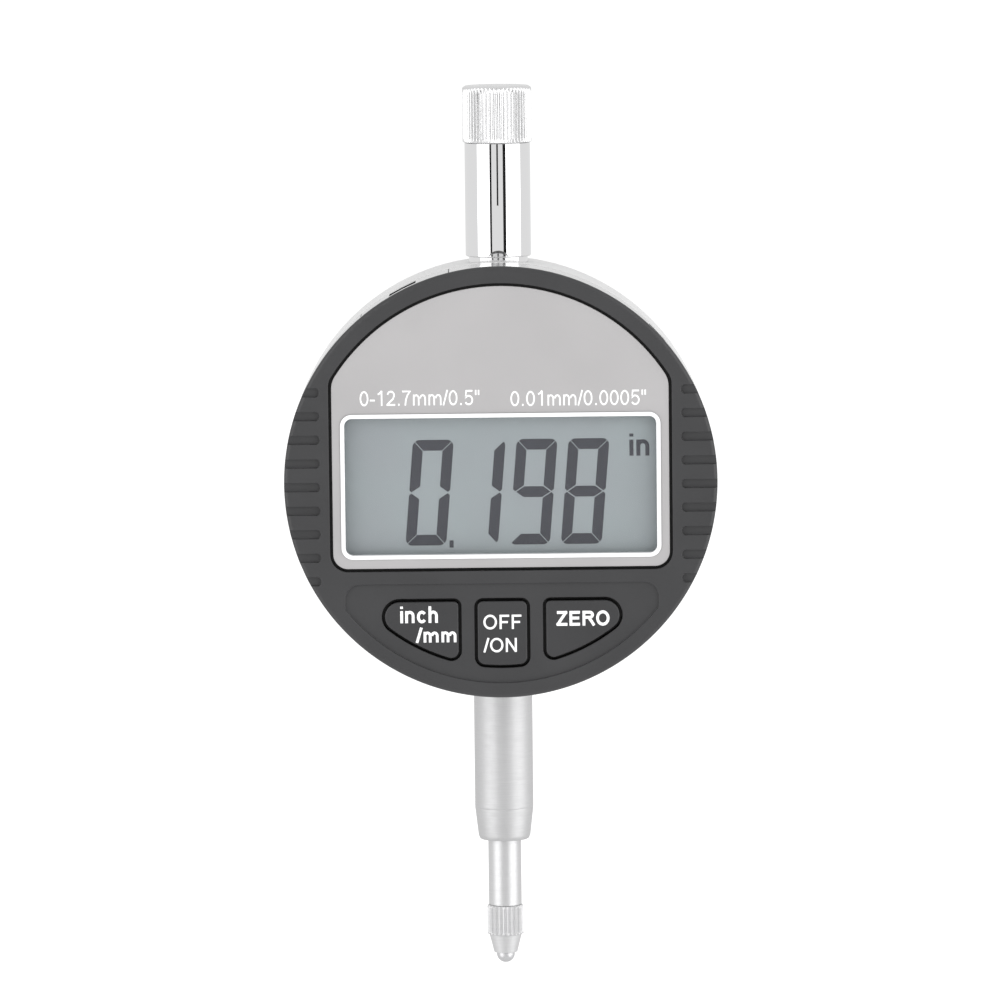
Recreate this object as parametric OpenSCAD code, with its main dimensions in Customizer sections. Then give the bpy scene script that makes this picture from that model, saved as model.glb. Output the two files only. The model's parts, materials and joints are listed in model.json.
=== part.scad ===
// Digital dial indicator: round case, 8 mm clamping stem, sliding spindle and lug back.
// Millimetres. +Z runs up the spindle axis, the dial faces -Y and +X is at the dial's right.
// The origin is on the spindle axis, at the middle of the stem's clamping length.
// In the names below a depth is measured back from the front face of the bezel, and a height
// from the centre of the dial.

/* [Case] */
// Diameter of the front bezel
bezel_d = 58.3; // [57:0.1:60]
// Rounding of the bezel's front edge
bezel_fillet = 0.6; // [0.4:0.1:0.9]
// Diameter of the bright ring behind the bezel
ring_d = 58; // [57.8:0.1:58.1]
// Diameter of the rear case and the back cover
rear_d = 58.1; // [57.8:0.1:58.1]
// Depth of the case from the bezel face to the back cover
case_depth = 22; // [22:0.1:24]
// Number of grip grooves on each side of the bezel
groove_count = 9; // [5:2:9]
// Spacing of the grip grooves
groove_pitch = 3.19; // [2.6:0.01:3.2]

/* [Dial face] */
// Width of the light face plate
plate_w = 45.3; // [45:0.1:45.4]
// Radius of the face plate's top edge
plate_r = 26.5; // [26.3:0.1:26.5]
// Width of the display window
window_w = 41.9; // [41.5:0.1:42]
// Height of the display window
window_h = 18.46; // [18.2:0.02:18.6]
// Black gap around the face plate and the buttons
gap = 0.4; // [0.3:0.05:0.4]

/* [Buttons] */
// Travel of a button
button_travel = 0.35; // [0.2:0.05:0.35]
// Depth of the recessed button panel
panel_recess = 0.35; // [0.2:0.05:0.4]
// Width of the middle button
middle_w = 6.66; // [6.2:0.1:6.8]

/* [Stem and spindle] */
// Diameter of the clamping stem
stem_d = 8; // [7.9:0.01:8]
// Diameter of the spindle
spindle_d = 4.5; // [4.4:0.01:4.5]
// Measuring travel of the spindle
travel = 12.7; // [8:0.1:12.7]
// Diameter of the tube above the case
tube_d = 8.9; // [8.6:0.1:9]
// Diameter of the dust cap
cap_d = 9.4; // [9.2:0.1:9.6]
// Diameter of the ball at the tip
ball_d = 2.5; // [2.4:0.1:2.6]

/* [Lug back] */
// Thickness of the lug
lug_t = 5; // [4.6:0.1:6]
// Diameter of the hole in the lug
lug_hole_d = 6.5; // [6:0.1:6.6]

/* [Battery and port] */
// Direction of the battery drawer, counter-clockwise from the right
drawer_angle = 116.75; // [116.5:0.05:117]
// Direction of the data port
port_angle = 42.45; // [42:0.05:43]
// Diameter of the button cell
cell_d = 11.6; // [11.4:0.1:11.6]

/* [Hidden] */
$fn = 96;
eps = 0.1;          // overshoot of a cut
bond = 0.02;        // clearance between pieces that are fixed together
run = 0.03;         // radial clearance of the sliding spindle

// Frame
axis_depth = 14.5;  // depth of the spindle axis
dial_z = 37.5;      // height of the dial centre above the origin

// Bezel
bezel_r = bezel_d / 2;
bezel_wall = 2.1;   // depth at which the front wall ends
bezel_rim = 2.2;    // depth at which the rim ends
bezel_draft = 0.3;  // how much the rim narrows towards its back
skirt_back = 7;
skirt_r0 = 25.8;
skirt_r1 = 27.2;
boss_r = 1.9;
boss_back = 9.7;
boss_hole_r = 0.8;
upper_boss = [20.46, 13.29];
lower_boss = [19.86, -14.17];
BOSSES = [for (s = [-1, 1]) for (b = [upper_boss, lower_boss]) [s * b[0], b[1]]];
groove_h = 1.23;
groove_x = 24.27;   // where a groove starts
groove_z = -0.34;   // height of the middle groove
groove_depth = 0.5;

// Face plate, window frame and display
plate_front = 0.3;
plate_back = 1.3;
plate_floor = -11.47;
plate_corner = 2;
plate_shoulder = 3.2;
recess_shoulder = 2.4;
ledge = 1.2;        // how far the bezel reaches behind the plate
window_z = -0.4;    // height of the window's centre
window_r = 1;       // corner radius of the window
frame_front = 0.05;
frame_w = 0.6;
lens_front = plate_back + bond;
lens_back = bezel_wall;
lens_lap = 0.35;    // how far the lens reaches behind the frame
holder_front = 2.2;
holder_back = 6.6;
HOLDER = [-23, 23, -11.8, 10.8];
PANEL = [-22.2, 22.2, -11, 9.3];
panel_front = 2.3;
panel_back = 4.9;
ZEBRA = [-20, 20];
zebra_t = 1.4;
zebra_z = [-10.2, 8.3];
SCREW_PADS = [for (x = [-21.6, 21.6]) for (z = [-7, 6]) [x, z]];

// Button panel
panel_top = -13.6;
panel_half_w = 21.1;
panel_r = 27.1;
panel_corner = 2;
button_top = -16.02;
button_r = 24.7;    // radius of the buttons' lower edge
button_inner = 5.9; // where a side button starts
button_front = 0.05;
flange_front = bezel_wall + 0.05;
flange_back = 3;
flange_lap = 0.6;
plunger_back = 5.6;
plunger_r = 1.5;
SIDE_SWITCH = [10.3, -19.2];
MIDDLE_SWITCH = [0, -20.2];

// Circuit board
board_front = 7;
board_back = 8.2;
board_r = 25.2;
switch_size = 4;

// Case ring and rear case
ring_r = ring_d / 2;
ring_r0 = 27.3;
ring_back = 9.5;
gasket_back = 9.8;
rear_r = rear_d / 2;
rear_r0 = 26.8;
cover_t = 1.7;
cover_front = case_depth - cover_t;
block_z = 21;       // where the bearing blocks start, above and below the dial centre
block_x = [-5.5, 11.5];
rod_x = 9;
rod_r = 1;
rod_end = 24;
lug_back = 11.3;    // depth at which the screw lugs end
lug_r = 2.6;
post_xz = 17.5;
post_r = 2.3;
POSTS = [for (x = [-post_xz, post_xz]) for (z = [-post_xz, post_xz]) [x, z]];

// Stem, tube and cap
stem_r = stem_d / 2;
stem_top = -21.5;
stem_taper = -46.1;
stem_end = -50.5;
collar_r = 4.4;     // thicker end of the stem inside the case
collar_foot = -29.1;
bush_seat = -45.2;
bush_r = 3;
lower_bush_top = -37.2;
tube_r = tube_d / 2;
tube_foot = 21.5;
sleeve_z0 = 29.6;
sleeve_z1 = 45;
thread_r = 3.9;
thread_top = 51.2;
tube_bore_r = 3.4;
upper_bush_top = 31;
cap_top = 52.75;
cap_wall = 1.2;

// Spindle group
spindle_r = spindle_d / 2;
contact_top = -59.7;
contact_r = 2.5;
cone_start = -62.8;
cone_end = -66.35;
cone_end_r = 1.6;
tip_z = -67.8;
stud_r = 1.25;
stud_len = 4.8;
lift_top = cap_top - cap_wall - travel - 1;
lift_h = 2.5;
lift_r = 3.1;
counterbore_top = contact_top + travel + 1;
carrier_z = [-20, -6];
carrier_front = 9.35;
carrier_back = 17.5;
carrier_half_w = 5;
strip_z = [-25, -1.2]; // foot and top of the scale strip
spring_wire_r = 0.25;
spring_r = 3.25;
spring_turns = 12;

// Lug
lug_half_h = 7;
lug_hole_depth = 29.5;

// Battery drawer and port
drawer_w = 13.2;
drawer_front = 3.4;
drawer_back = 9.3;
drawer_r0 = 14.2;   // inner end of the drawer
door_r0 = 27.4;
notch_w = 4;
notch_depths = [4.4, 8.9];
cell_front = 3.5;
cell_back = 8.9;
cell_at = 20.7;
port_w = 3.2;
port_depths = [4.4, 8.9];
port_pad_r = [22.8, 25];

// ---- Placing helpers ----

// Plate or bar from depth d0 to depth d1, drawn from the front about the dial centre
module slab(d0, d1) {
    translate([0, d1 - axis_depth, dial_z])
        rotate([90, 0, 0])
            linear_extrude(d1 - d0)
                children();
}

// Round bar or hole along the depth, at [x, height]
module round_bar(at, r, d0, d1) {
    translate([at[0], d1 - axis_depth, dial_z + at[1]])
        rotate([90, 0, 0])
            cylinder(r = r, h = d1 - d0);
}

// Cone along the depth, from radius r0 at depth d0 to radius r1 at depth d1
module cone_bar(at, r0, r1, d0, d1) {
    translate([at[0], d1 - axis_depth, dial_z + at[1]])
        rotate([90, 0, 0])
            cylinder(r1 = r1, r2 = r0, h = d1 - d0);
}

// Turned part about the dial axis, drawn as [radius, -depth]
module turned() {
    translate([0, -axis_depth, dial_z])
        rotate([90, 0, 0])
            rotate_extrude()
                children();
}

// Turned part about the spindle axis, from points [radius, height]
module lathe(points) {
    translate([0, 0, dial_z])
        rotate_extrude()
            polygon(points);
}

// Round bar or hole along the height, at x on the spindle plane
module upright(x, r, z0, z1) {
    translate([x, 0, dial_z + z0])
        cylinder(r = r, h = z1 - z0);
}

// Bar between two heights, over x0..x1 and the depths d0..d1
module block(x0, x1, d0, d1, z0, z1) {
    translate([x0, d0 - axis_depth, dial_z + z0])
        cube([x1 - x0, d1 - d0, z1 - z0]);
}

// ---- Outlines, seen from the front ----

// Rectangle with rounded corners; box is [x0, x1, z0, z1]
module round_rect(box, r) {
    translate([box[0] + r, box[2]])
        square([box[1] - box[0] - 2 * r, box[3] - box[2]]);
    translate([box[0], box[2] + r])
        square([box[1] - box[0], box[3] - box[2] - 2 * r]);
    for (x = [box[0] + r, box[1] - r], z = [box[2] + r, box[3] - r])
        translate([x, z])
            circle(r);
}

// What a fillet of radius r about c takes off the corner between a straight edge, whose outward
// direction is out, and a circle about the dial centre
module corner_waste(c, out, r) {
    difference() {
        polygon([c, c + 15 * out, 2 * c + 15 * out, 2 * c]);
        translate(c)
            circle(r);
    }
}

// Outline of the face plate, grown by g all round
module plate_outline(g) {
    side = plate_w / 2 + g;
    arc_r = plate_r + g;
    shoulder = g > 0 ? recess_shoulder : plate_shoulder + g;
    x = side - shoulder;
    z = sqrt(pow(arc_r - shoulder, 2) - x * x);
    difference() {
        intersection() {
            circle(arc_r);
            round_rect([-side, side, plate_floor - g, arc_r + 5], max(plate_corner + g, 0.5));
        }
        for (s = [-1, 1])
            corner_waste([s * x, z], [s, 0], shoulder);
    }
}

// Half-moon panel that the buttons sit in
module panel_outline() {
    intersection() {
        circle(panel_r);
        round_rect([-panel_half_w, panel_half_w, -panel_r - 5, panel_top], panel_corner);
    }
}

// Rectangle below the buttons' top edge, with its two top corners rounded
module button_blank(x0, x1, r, g) {
    round_rect([x0 - g, x1 + g, -button_r - 5, button_top + g], r + g);
}

// Outline of the right side button, grown by g
module side_outline(g) {
    arc_r = button_r + g;
    tip = 2 + g;
    heel = 1 + g;
    tip_x = sqrt(pow(arc_r - tip, 2) - pow(button_top + g - tip, 2));
    heel_x = button_inner - g + heel;
    heel_z = -sqrt(pow(arc_r - heel, 2) - heel_x * heel_x);
    difference() {
        intersection() {
            circle(arc_r);
            button_blank(button_inner, arc_r, 0.6, g);
        }
        corner_waste([tip_x, button_top + g - tip], [0, 1], tip);
        corner_waste([heel_x, heel_z], [-1, 0], heel);
    }
}

// Outline of the middle button, grown by g
module middle_outline(g) {
    arc_r = button_r + g;
    heel = 1 + g;
    heel_x = middle_w / 2 + g - heel;
    heel_z = -sqrt(pow(arc_r - heel, 2) - heel_x * heel_x);
    difference() {
        intersection() {
            circle(arc_r);
            button_blank(-middle_w / 2, middle_w / 2, 0.75, g);
        }
        for (s = [-1, 1])
            corner_waste([s * heel_x, heel_z], [s, 0], heel);
    }
}

// Parallel-sided slot from radius r0 outwards, in direction angle
module radial_slot(angle, w, r0, r1) {
    rotate(angle)
        translate([r0, -w / 2])
            square([r1 - r0, w]);
}

// Display window, grown by g
module window_outline(g) {
    half_w = window_w / 2 + g;
    half_h = window_h / 2 + g;
    round_rect([-half_w, half_w, window_z - half_h, window_z + half_h], window_r + g);
}

// Flat ring between two radii
module ring_outline(r0, r1) {
    difference() {
        circle(r1);
        circle(r0);
    }
}

// ---- Front shell and display ----

module bezel_section() {
    f = bezel_fillet;
    translate([0, -bezel_wall])
        square([bezel_r - f, bezel_wall]);
    polygon([[skirt_r0, -f], [bezel_r, -f], [bezel_r - bezel_draft, -bezel_rim],
        [skirt_r0, -bezel_rim]]);
    translate([bezel_r - f, -f])
        circle(f);
    translate([skirt_r0, -skirt_back])
        square([skirt_r1 - skirt_r0, skirt_back - f]);
}

module grip_grooves() {
    middle = (groove_count - 1) / 2;
    for (side = [0, 1], i = [0:groove_count - 1])
        mirror([side, 0, 0])
            translate([groove_x, groove_z + (i - middle) * groove_pitch]) {
                translate([groove_h / 2, 0])
                    circle(groove_h / 2);
                translate([groove_h / 2, -groove_h / 2])
                    square([bezel_r, groove_h]);
            }
}

module front_bezel() {
    color([0.31, 0.31, 0.33])
        difference() {
            union() {
                turned()
                    bezel_section();
                for (at = BOSSES)
                    round_bar(at, boss_r, bezel_wall - eps, boss_back);
            }
            slab(-eps, plate_back)
                plate_outline(gap);
            slab(plate_back - eps, bezel_wall + eps)
                plate_outline(-ledge);
            slab(-eps, panel_recess)
                panel_outline();
            slab(-eps, bezel_wall + eps) {
                side_outline(gap);
                mirror([1, 0, 0])
                    side_outline(gap);
                middle_outline(gap);
            }
            slab(-eps, groove_depth)
                grip_grooves();
            slab(bezel_rim + 0.3, skirt_back + eps)
                radial_slot(drawer_angle, drawer_w + 0.5, drawer_r0, bezel_r);
            slab(port_depths[0] - 0.2, skirt_back + eps)
                radial_slot(port_angle, port_w + gap, port_pad_r[0], bezel_r);
            for (at = BOSSES)
                round_bar(at, boss_hole_r, bezel_rim, boss_back + eps);
        }
}

module face_plate() {
    color([0.76, 0.76, 0.76])
        difference() {
            slab(plate_front, plate_back)
                plate_outline(0);
            slab(plate_front - eps, plate_back + eps)
                window_outline(frame_w);
        }
}

module window_frame() {
    color([0.95, 0.95, 0.95])
        slab(frame_front, plate_back)
            difference() {
                window_outline(frame_w - bond);
                window_outline(0);
            }
}

module window_lens() {
    color([0.85, 0.9, 0.92, 0.4])
        slab(lens_front, lens_back)
            window_outline(lens_lap);
}

module lcd_panel() {
    color([0.62, 0.65, 0.66])
        slab(panel_front, panel_back)
            round_rect(PANEL, 0.3);
}

module zebra_slot(i, g) {
    translate([ZEBRA[0] - g, zebra_z[i] - zebra_t / 2 - g])
        square([ZEBRA[1] - ZEBRA[0] + 2 * g, zebra_t + 2 * g]);
}

module lcd_holder() {
    side = 0.05;
    color([0.93, 0.93, 0.9])
        difference() {
            union() {
                slab(holder_front, holder_back)
                    round_rect(HOLDER, 1.5);
                for (at = SCREW_PADS)
                    round_bar(at, 1.3, holder_back - eps, board_front - bond);
            }
            slab(panel_front - bond, panel_back + bond)
                round_rect([PANEL[0] - side, PANEL[1] + side, PANEL[2] - side, PANEL[3] + side], 0.3);
            slab(holder_front - eps, panel_front)
                window_outline(lens_lap);
            slab(panel_back, holder_back + eps)
                for (i = [0, 1])
                    zebra_slot(i, 0.05);
            for (at = SCREW_PADS)
                round_bar(at, 0.55, panel_back + 0.3, board_front + eps);
            slab(drawer_front - 0.3, holder_back + eps)
                radial_slot(drawer_angle, drawer_w + 0.5, drawer_r0 - 0.25, bezel_r);
        }
}

module zebra_strip_upper() {
    color([0.2, 0.2, 0.22])
        slab(panel_back + 2 * bond, board_front - bond)
            zebra_slot(1, 0);
}

module zebra_strip_lower() {
    color([0.2, 0.2, 0.22])
        slab(panel_back + 2 * bond, board_front - bond)
            zebra_slot(0, 0);
}

// ---- Electronics ----

module main_board() {
    color([0.1, 0.38, 0.2])
        slab(board_front, board_back)
            difference() {
                circle(board_r);
                for (at = BOSSES)
                    translate(at)
                        circle(boss_r + 0.2);
                radial_slot(drawer_angle, drawer_w + 0.8, drawer_r0 - 0.4, board_r + 1);
                for (at = SCREW_PADS)
                    translate(at)
                        circle(0.7);
            }
}

module controller_chip() {
    chip = [-14, -2];
    color([0.06, 0.06, 0.07]) {
        slab(board_back, board_back + 0.5)
            round_rect([chip[0] - 4, chip[0] + 4, chip[1] - 4, chip[1] + 4], 1);
        cone_bar(chip, 3.6, 2.4, board_back + 0.5, board_back + 1);
    }
}

module board_screws() {
    color([0.75, 0.75, 0.77])
        for (at = SCREW_PADS)
            difference() {
                union() {
                    round_bar(at, 0.53, panel_back + 0.4, board_back + 2 * bond);
                    round_bar(at, 1.1, board_back + bond, board_back + 0.7);
                }
                slab(board_back + 0.4, board_back + 0.8)
                    translate(at)
                        square([1.4, 0.3], center = true);
            }
}

// Push switch on the front of the board
module switch_at(at) {
    half = switch_size / 2;
    color([0.15, 0.15, 0.16])
        slab(board_front - 0.8, board_front)
            round_rect([at[0] - half, at[0] + half, at[1] - half, at[1] + half], 0.3);
    color([0.8, 0.8, 0.8])
        round_bar(at, 1, board_front - 1, board_front - 0.8);
}

module switch_left() {
    switch_at([-SIDE_SWITCH[0], SIDE_SWITCH[1]]);
}

module switch_middle() {
    switch_at(MIDDLE_SWITCH);
}

module switch_right() {
    switch_at(SIDE_SWITCH);
}

// Strip in the drawer's direction between radii r0 and r1
module drawer_strip(d0, d1, w, r0, r1) {
    slab(d0, d1)
        radial_slot(drawer_angle, w, r0, r1);
}

// Leaf that touches the back of the cell, with a leg up to the board
module battery_contact_positive() {
    leg_r = drawer_r0 - 1.2;
    color([0.85, 0.75, 0.45]) {
        drawer_strip(drawer_back + 0.1, drawer_back + 0.35, 3, leg_r, cell_at + 2);
        drawer_strip(board_back, drawer_back + 0.35, 3, leg_r, leg_r + 0.3);
    }
}

// Leaf that touches the front of the cell, with a leg down to the board
module battery_contact_negative() {
    leg_r = drawer_r0 - 1.2;
    color([0.85, 0.75, 0.45]) {
        drawer_strip(bezel_wall + 0.8, bezel_wall + 1.05, 3, leg_r, cell_at + 2);
        drawer_strip(bezel_wall + 0.8, board_front, 3, leg_r, leg_r + 0.3);
    }
}

module port_contacts() {
    color([0.85, 0.7, 0.35])
        slab(board_front - 0.6, board_front)
            for (i = [-1.5:1:1.5])
                rotate(port_angle)
                    translate([port_pad_r[0], 0.75 * i - 0.2])
                        square([port_pad_r[1] - port_pad_r[0], 0.4]);
}

// ---- Buttons ----

module unit_button() {
    color([0.28, 0.28, 0.3])
        mirror([1, 0, 0])
            side_button();
}

module zero_button() {
    color([0.28, 0.28, 0.3])
        side_button();
}

module side_button() {
    slab(button_front, flange_front + eps)
        side_outline(0);
    slab(flange_front, flange_back)
        side_outline(flange_lap);
    round_bar(SIDE_SWITCH, plunger_r, flange_back - eps, plunger_back);
}

module power_button() {
    color([0.28, 0.28, 0.3]) {
        slab(button_front, flange_front + eps)
            middle_outline(0);
        slab(flange_front, flange_back)
            middle_outline(flange_lap);
        round_bar(MIDDLE_SWITCH, plunger_r, flange_back - eps, plunger_back);
    }
}

// ---- Case ----

module case_ring() {
    color([0.85, 0.85, 0.86])
        difference() {
            slab(bezel_rim, ring_back)
                ring_outline(ring_r0, ring_r);
            slab(bezel_rim - eps, ring_back + eps)
                radial_slot(drawer_angle, drawer_w + 0.2, drawer_r0, bezel_r);
            slab(port_depths[0], port_depths[1])
                radial_slot(port_angle, port_w, port_pad_r[1], bezel_r);
        }
}

module case_gasket() {
    color([0.08, 0.08, 0.08])
        slab(ring_back, gasket_back)
            ring_outline(ring_r0, rear_r - 0.1);
}

module front_screws() {
    color([0.7, 0.7, 0.72])
        for (at = BOSSES)
            difference() {
                union() {
                    round_bar(at, boss_hole_r - bond, 4, lug_back + 2 * bond);
                    round_bar(at, 1.5, lug_back + bond, lug_back + 1);
                }
                slab(lug_back + 0.5, lug_back + 1.1)
                    translate(at) {
                        square([1.8, 0.4], center = true);
                        square([0.4, 1.8], center = true);
                    }
            }
}

// Bearing block in the top (up = 0) or the bottom (up = 1) of the rear case
module bearing_block(up) {
    mirror([0, up, 0])
        intersection() {
            circle(rear_r - 0.5);
            translate([block_x[0], block_z])
                square([block_x[1] - block_x[0], rear_r]);
        }
}

module rear_case() {
    color([0.9, 0.9, 0.9])
        difference() {
            union() {
                slab(gasket_back, cover_front)
                    ring_outline(rear_r0, rear_r);
                slab(gasket_back + eps, cover_front - eps)
                    for (up = [0, 1])
                        bearing_block(up);
                slab(gasket_back, lug_back)
                    intersection() {
                        circle(rear_r0 + 0.2);
                        for (at = BOSSES) {
                            translate(at)
                                circle(lug_r);
                            radial_slot(atan2(at[1], at[0]), 2 * lug_r - 0.4, norm(at), rear_r);
                        }
                    }
                for (at = POSTS)
                    round_bar(at, post_r, 12, cover_front);
            }
            upright(0, collar_r + bond, -rear_r - 1, 1 - block_z);
            upright(0, stem_r + bond, block_z - 1, rear_r + 1);
            for (z0 = [-rod_end - eps, block_z - eps])
                upright(rod_x, rod_r + bond, z0, z0 + rod_end - block_z + 2 * eps);
            for (at = BOSSES)
                round_bar(at, 1.1, gasket_back - eps, lug_back + eps);
            for (at = POSTS)
                round_bar(at, boss_hole_r, 14, cover_front + eps);
        }
}

module back_cover() {
    chamfer = 0.8;
    color([0.9, 0.9, 0.9])
        difference() {
            union() {
                turned()
                    polygon([[0, -cover_front], [rear_r, -cover_front],
                        [rear_r, -case_depth + chamfer], [rear_r - chamfer, -case_depth],
                        [0, -case_depth]]);
                block(-lug_t / 2, lug_t / 2, case_depth - 0.5, lug_hole_depth, -lug_half_h, lug_half_h);
                lug_bar(lug_half_h, lug_t);
            }
            lug_bar(lug_hole_d / 2, lug_t + 1);
            for (at = POSTS) {
                round_bar(at, 1, cover_front - eps, case_depth + eps);
                cone_bar(at, 1, 2, case_depth - 1.1, case_depth + bond);
            }
        }
}

// Round bar across the lug, at its hole
module lug_bar(r, length) {
    translate([-length / 2, lug_hole_depth - axis_depth, dial_z])
        rotate([0, 90, 0])
            cylinder(r = r, h = length);
}

module back_screws() {
    color([0.7, 0.7, 0.72])
        for (at = POSTS)
            difference() {
                union() {
                    round_bar(at, boss_hole_r - bond, 15, case_depth - 0.9);
                    cone_bar(at, 0.85, 1.85, case_depth - 1.05, case_depth - 0.05);
                }
                slab(case_depth - 0.6, case_depth)
                    translate(at) {
                        square([2.2, 0.45], center = true);
                        square([0.45, 2.2], center = true);
                    }
            }
}

// ---- Battery drawer and port ----

module drawer_outline(r0, r1) {
    intersection() {
        circle(r1);
        radial_slot(drawer_angle, drawer_w, r0, bezel_r);
    }
}

module cell_bore(r, d0, d1) {
    round_bar(cell_at * [cos(drawer_angle), sin(drawer_angle)], r, d0, d1);
}

module battery_drawer() {
    color([0.12, 0.12, 0.13])
        difference() {
            slab(drawer_front, drawer_back)
                drawer_outline(drawer_r0, door_r0 - bond);
            cell_bore(cell_d / 2 + 0.1, drawer_front - eps, cell_back);
            cell_bore(cell_d / 2 - 0.8, cell_back - eps, drawer_back + eps);
        }
}

module drawer_door() {
    color([0.85, 0.85, 0.86])
        difference() {
            slab(bezel_rim + 0.05, ring_back - 0.05)
                intersection() {
                    ring_outline(door_r0, ring_r);
                    radial_slot(drawer_angle, drawer_w, drawer_r0, bezel_r);
                }
            slab(notch_depths[0], notch_depths[1])
                radial_slot(drawer_angle, notch_w, drawer_r0, bezel_r);
        }
}

module battery_cell() {
    color([0.8, 0.8, 0.82])
        cell_bore(cell_d / 2, cell_front, cell_back - bond);
}

module port_cover() {
    side = 0.05;
    flat_r = ring_r - 0.15;
    color([0.1, 0.1, 0.1]) {
        slab(port_depths[0] + side, port_depths[1] - side)
            radial_slot(port_angle, port_w - 2 * side, port_pad_r[1] + 1.2, flat_r - 0.25);
        slab(port_depths[0] + side, port_depths[1] - side)
            rotate(port_angle)
                translate([flat_r - 0.3, -port_w / 2 + side])
                    square([0.3, port_w - 0.9]);
    }
}

// ---- Stem, tube and cap ----

module stem() {
    color([0.78, 0.78, 0.8])
        lathe([[bush_r, stem_top], [collar_r, stem_top], [collar_r, collar_foot],
            [stem_r, collar_foot], [stem_r, stem_taper], [stem_r - 0.45, stem_end + 0.5],
            [stem_r - 0.65, stem_end], [2.8, stem_end], [2.8, counterbore_top], [contact_r, counterbore_top], [contact_r, bush_seat],
            [bush_r, bush_seat]]);
}

// Plain bearing between two heights
module bush(r, z0, z1) {
    lathe([[spindle_r + run, z0], [r, z0], [r, z1], [spindle_r + run, z1]]);
}

module lower_bush() {
    color([0.8, 0.65, 0.35])
        bush(bush_r - bond, bush_seat + bond, lower_bush_top);
}

module upper_bush() {
    color([0.8, 0.65, 0.35])
        bush(tube_bore_r - bond, tube_foot, upper_bush_top);
}

module upper_tube() {
    color([0.85, 0.85, 0.87])
        lathe([[tube_bore_r, tube_foot], [stem_r, tube_foot], [stem_r, sleeve_z0],
            [tube_r - 0.3, sleeve_z0], [tube_r, sleeve_z0 + 0.3], [tube_r, sleeve_z1],
            [thread_r, sleeve_z1], [thread_r, thread_top - 0.3], [thread_r - 0.3, thread_top],
            [tube_bore_r, thread_top]]);
}

module dust_cap() {
    cap_r = cap_d / 2;
    foot = sleeve_z1 + 0.05;
    color([0.8, 0.8, 0.82])
        lathe([[thread_r + run, foot], [cap_r - 0.15, foot], [cap_r, foot + 0.15],
            [cap_r, cap_top - 0.4], [cap_r - 0.4, cap_top], [0, cap_top],
            [0, cap_top - cap_wall], [thread_r + run, cap_top - cap_wall]]);
}

module guide_rod() {
    color([0.75, 0.75, 0.77])
        upright(rod_x, rod_r, -rod_end, rod_end);
}

module stop_washer() {
    color([0.1, 0.1, 0.1])
        lathe([[spindle_r + 0.35, stem_top], [stem_r - bond, stem_top],
            [stem_r - bond, carrier_z[0] - 0.05], [spindle_r + 0.35, carrier_z[0] - 0.05]]);
}

// Round wire wound between two heights; each ring of points is square to the helix
module return_spring() {
    z0 = carrier_z[1] + spring_wire_r + 0.05;
    z1 = tube_foot - spring_wire_r - 0.05;
    sides = 6;
    steps = spring_turns * 16;
    points = [for (i = [0:steps]) for (j = [0:sides - 1])
        let (turn = 360 * spring_turns * i / steps, a = 360 * j / sides,
            r = spring_r + spring_wire_r * cos(a))
        [r * cos(turn), r * sin(turn), z0 + (z1 - z0) * i / steps + spring_wire_r * sin(a)]];
    walls = [for (i = [0:steps - 1]) for (j = [0:sides - 1])
        let (k = (j + 1) % sides)
        [i * sides + j, (i + 1) * sides + j, (i + 1) * sides + k, i * sides + k]];
    ends = [[for (j = [0:sides - 1]) j], [for (j = [sides - 1:-1:0]) steps * sides + j]];
    color([0.7, 0.7, 0.72])
        translate([0, 0, dial_z])
            polyhedron(points, concat(walls, ends));
}

// ---- Spindle group ----

module spindle() {
    stud_bore_r = stud_r + bond;
    lift_foot = lift_top - lift_h;
    color([0.78, 0.78, 0.8])
        difference() {
            lathe([[0, contact_top], [spindle_r, contact_top], [spindle_r, lift_foot],
                [0, lift_foot]]);
            upright(0, stud_bore_r, contact_top - eps, contact_top + stud_len + eps);
            upright(0, stud_bore_r, lift_foot - stud_len - eps, lift_foot + eps);
        }
}

// Knurled holder of the ball, with a stud that screws into the spindle
module contact_point() {
    ball_z = tip_z + ball_d / 2;
    shoulder = contact_top - bond;
    color([0.75, 0.75, 0.77])
        difference() {
            lathe([[0, cone_end], [cone_end_r, cone_end], [contact_r, cone_start - 1],
                [contact_r, shoulder - 0.2], [contact_r - 0.2, shoulder], [stud_r, shoulder],
                [stud_r, contact_top + stud_len], [0, contact_top + stud_len]]);
            translate([0, 0, dial_z + ball_z])
                sphere(ball_d / 2 + bond);
        }
}

module contact_ball() {
    color([0.6, 0.6, 0.62])
        translate([0, 0, dial_z + tip_z + ball_d / 2])
            sphere(ball_d / 2);
}

// Block clamped on the spindle: its fork rides on the guide rod
module spindle_carrier() {
    screw_z = (carrier_z[0] + carrier_z[1]) / 2;
    fork = rod_r + 0.06;
    color([0.7, 0.7, 0.72])
        difference() {
            union() {
                block(-carrier_half_w, carrier_half_w, carrier_front, carrier_back,
                    carrier_z[0], carrier_z[1]);
                block(carrier_half_w - eps, rod_x + 2, axis_depth - 2, axis_depth + 2,
                    carrier_z[0] + 3, carrier_z[1] - 3);
            }
            upright(0, spindle_r + bond, carrier_z[0] - eps, carrier_z[1] + eps);
            block(rod_x - 1.3, rod_x + 3, axis_depth - fork, axis_depth + fork,
                carrier_z[0], carrier_z[1]);
            carrier_screw_bar(1, -carrier_half_w - eps, -spindle_r + 0.2);
        }
}

// Round bar along X, on the line of the carrier's clamping screw
module carrier_screw_bar(r, x0, x1) {
    translate([x0, 0, dial_z + (carrier_z[0] + carrier_z[1]) / 2])
        rotate([0, 90, 0])
            cylinder(r = r, h = x1 - x0);
}

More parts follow.
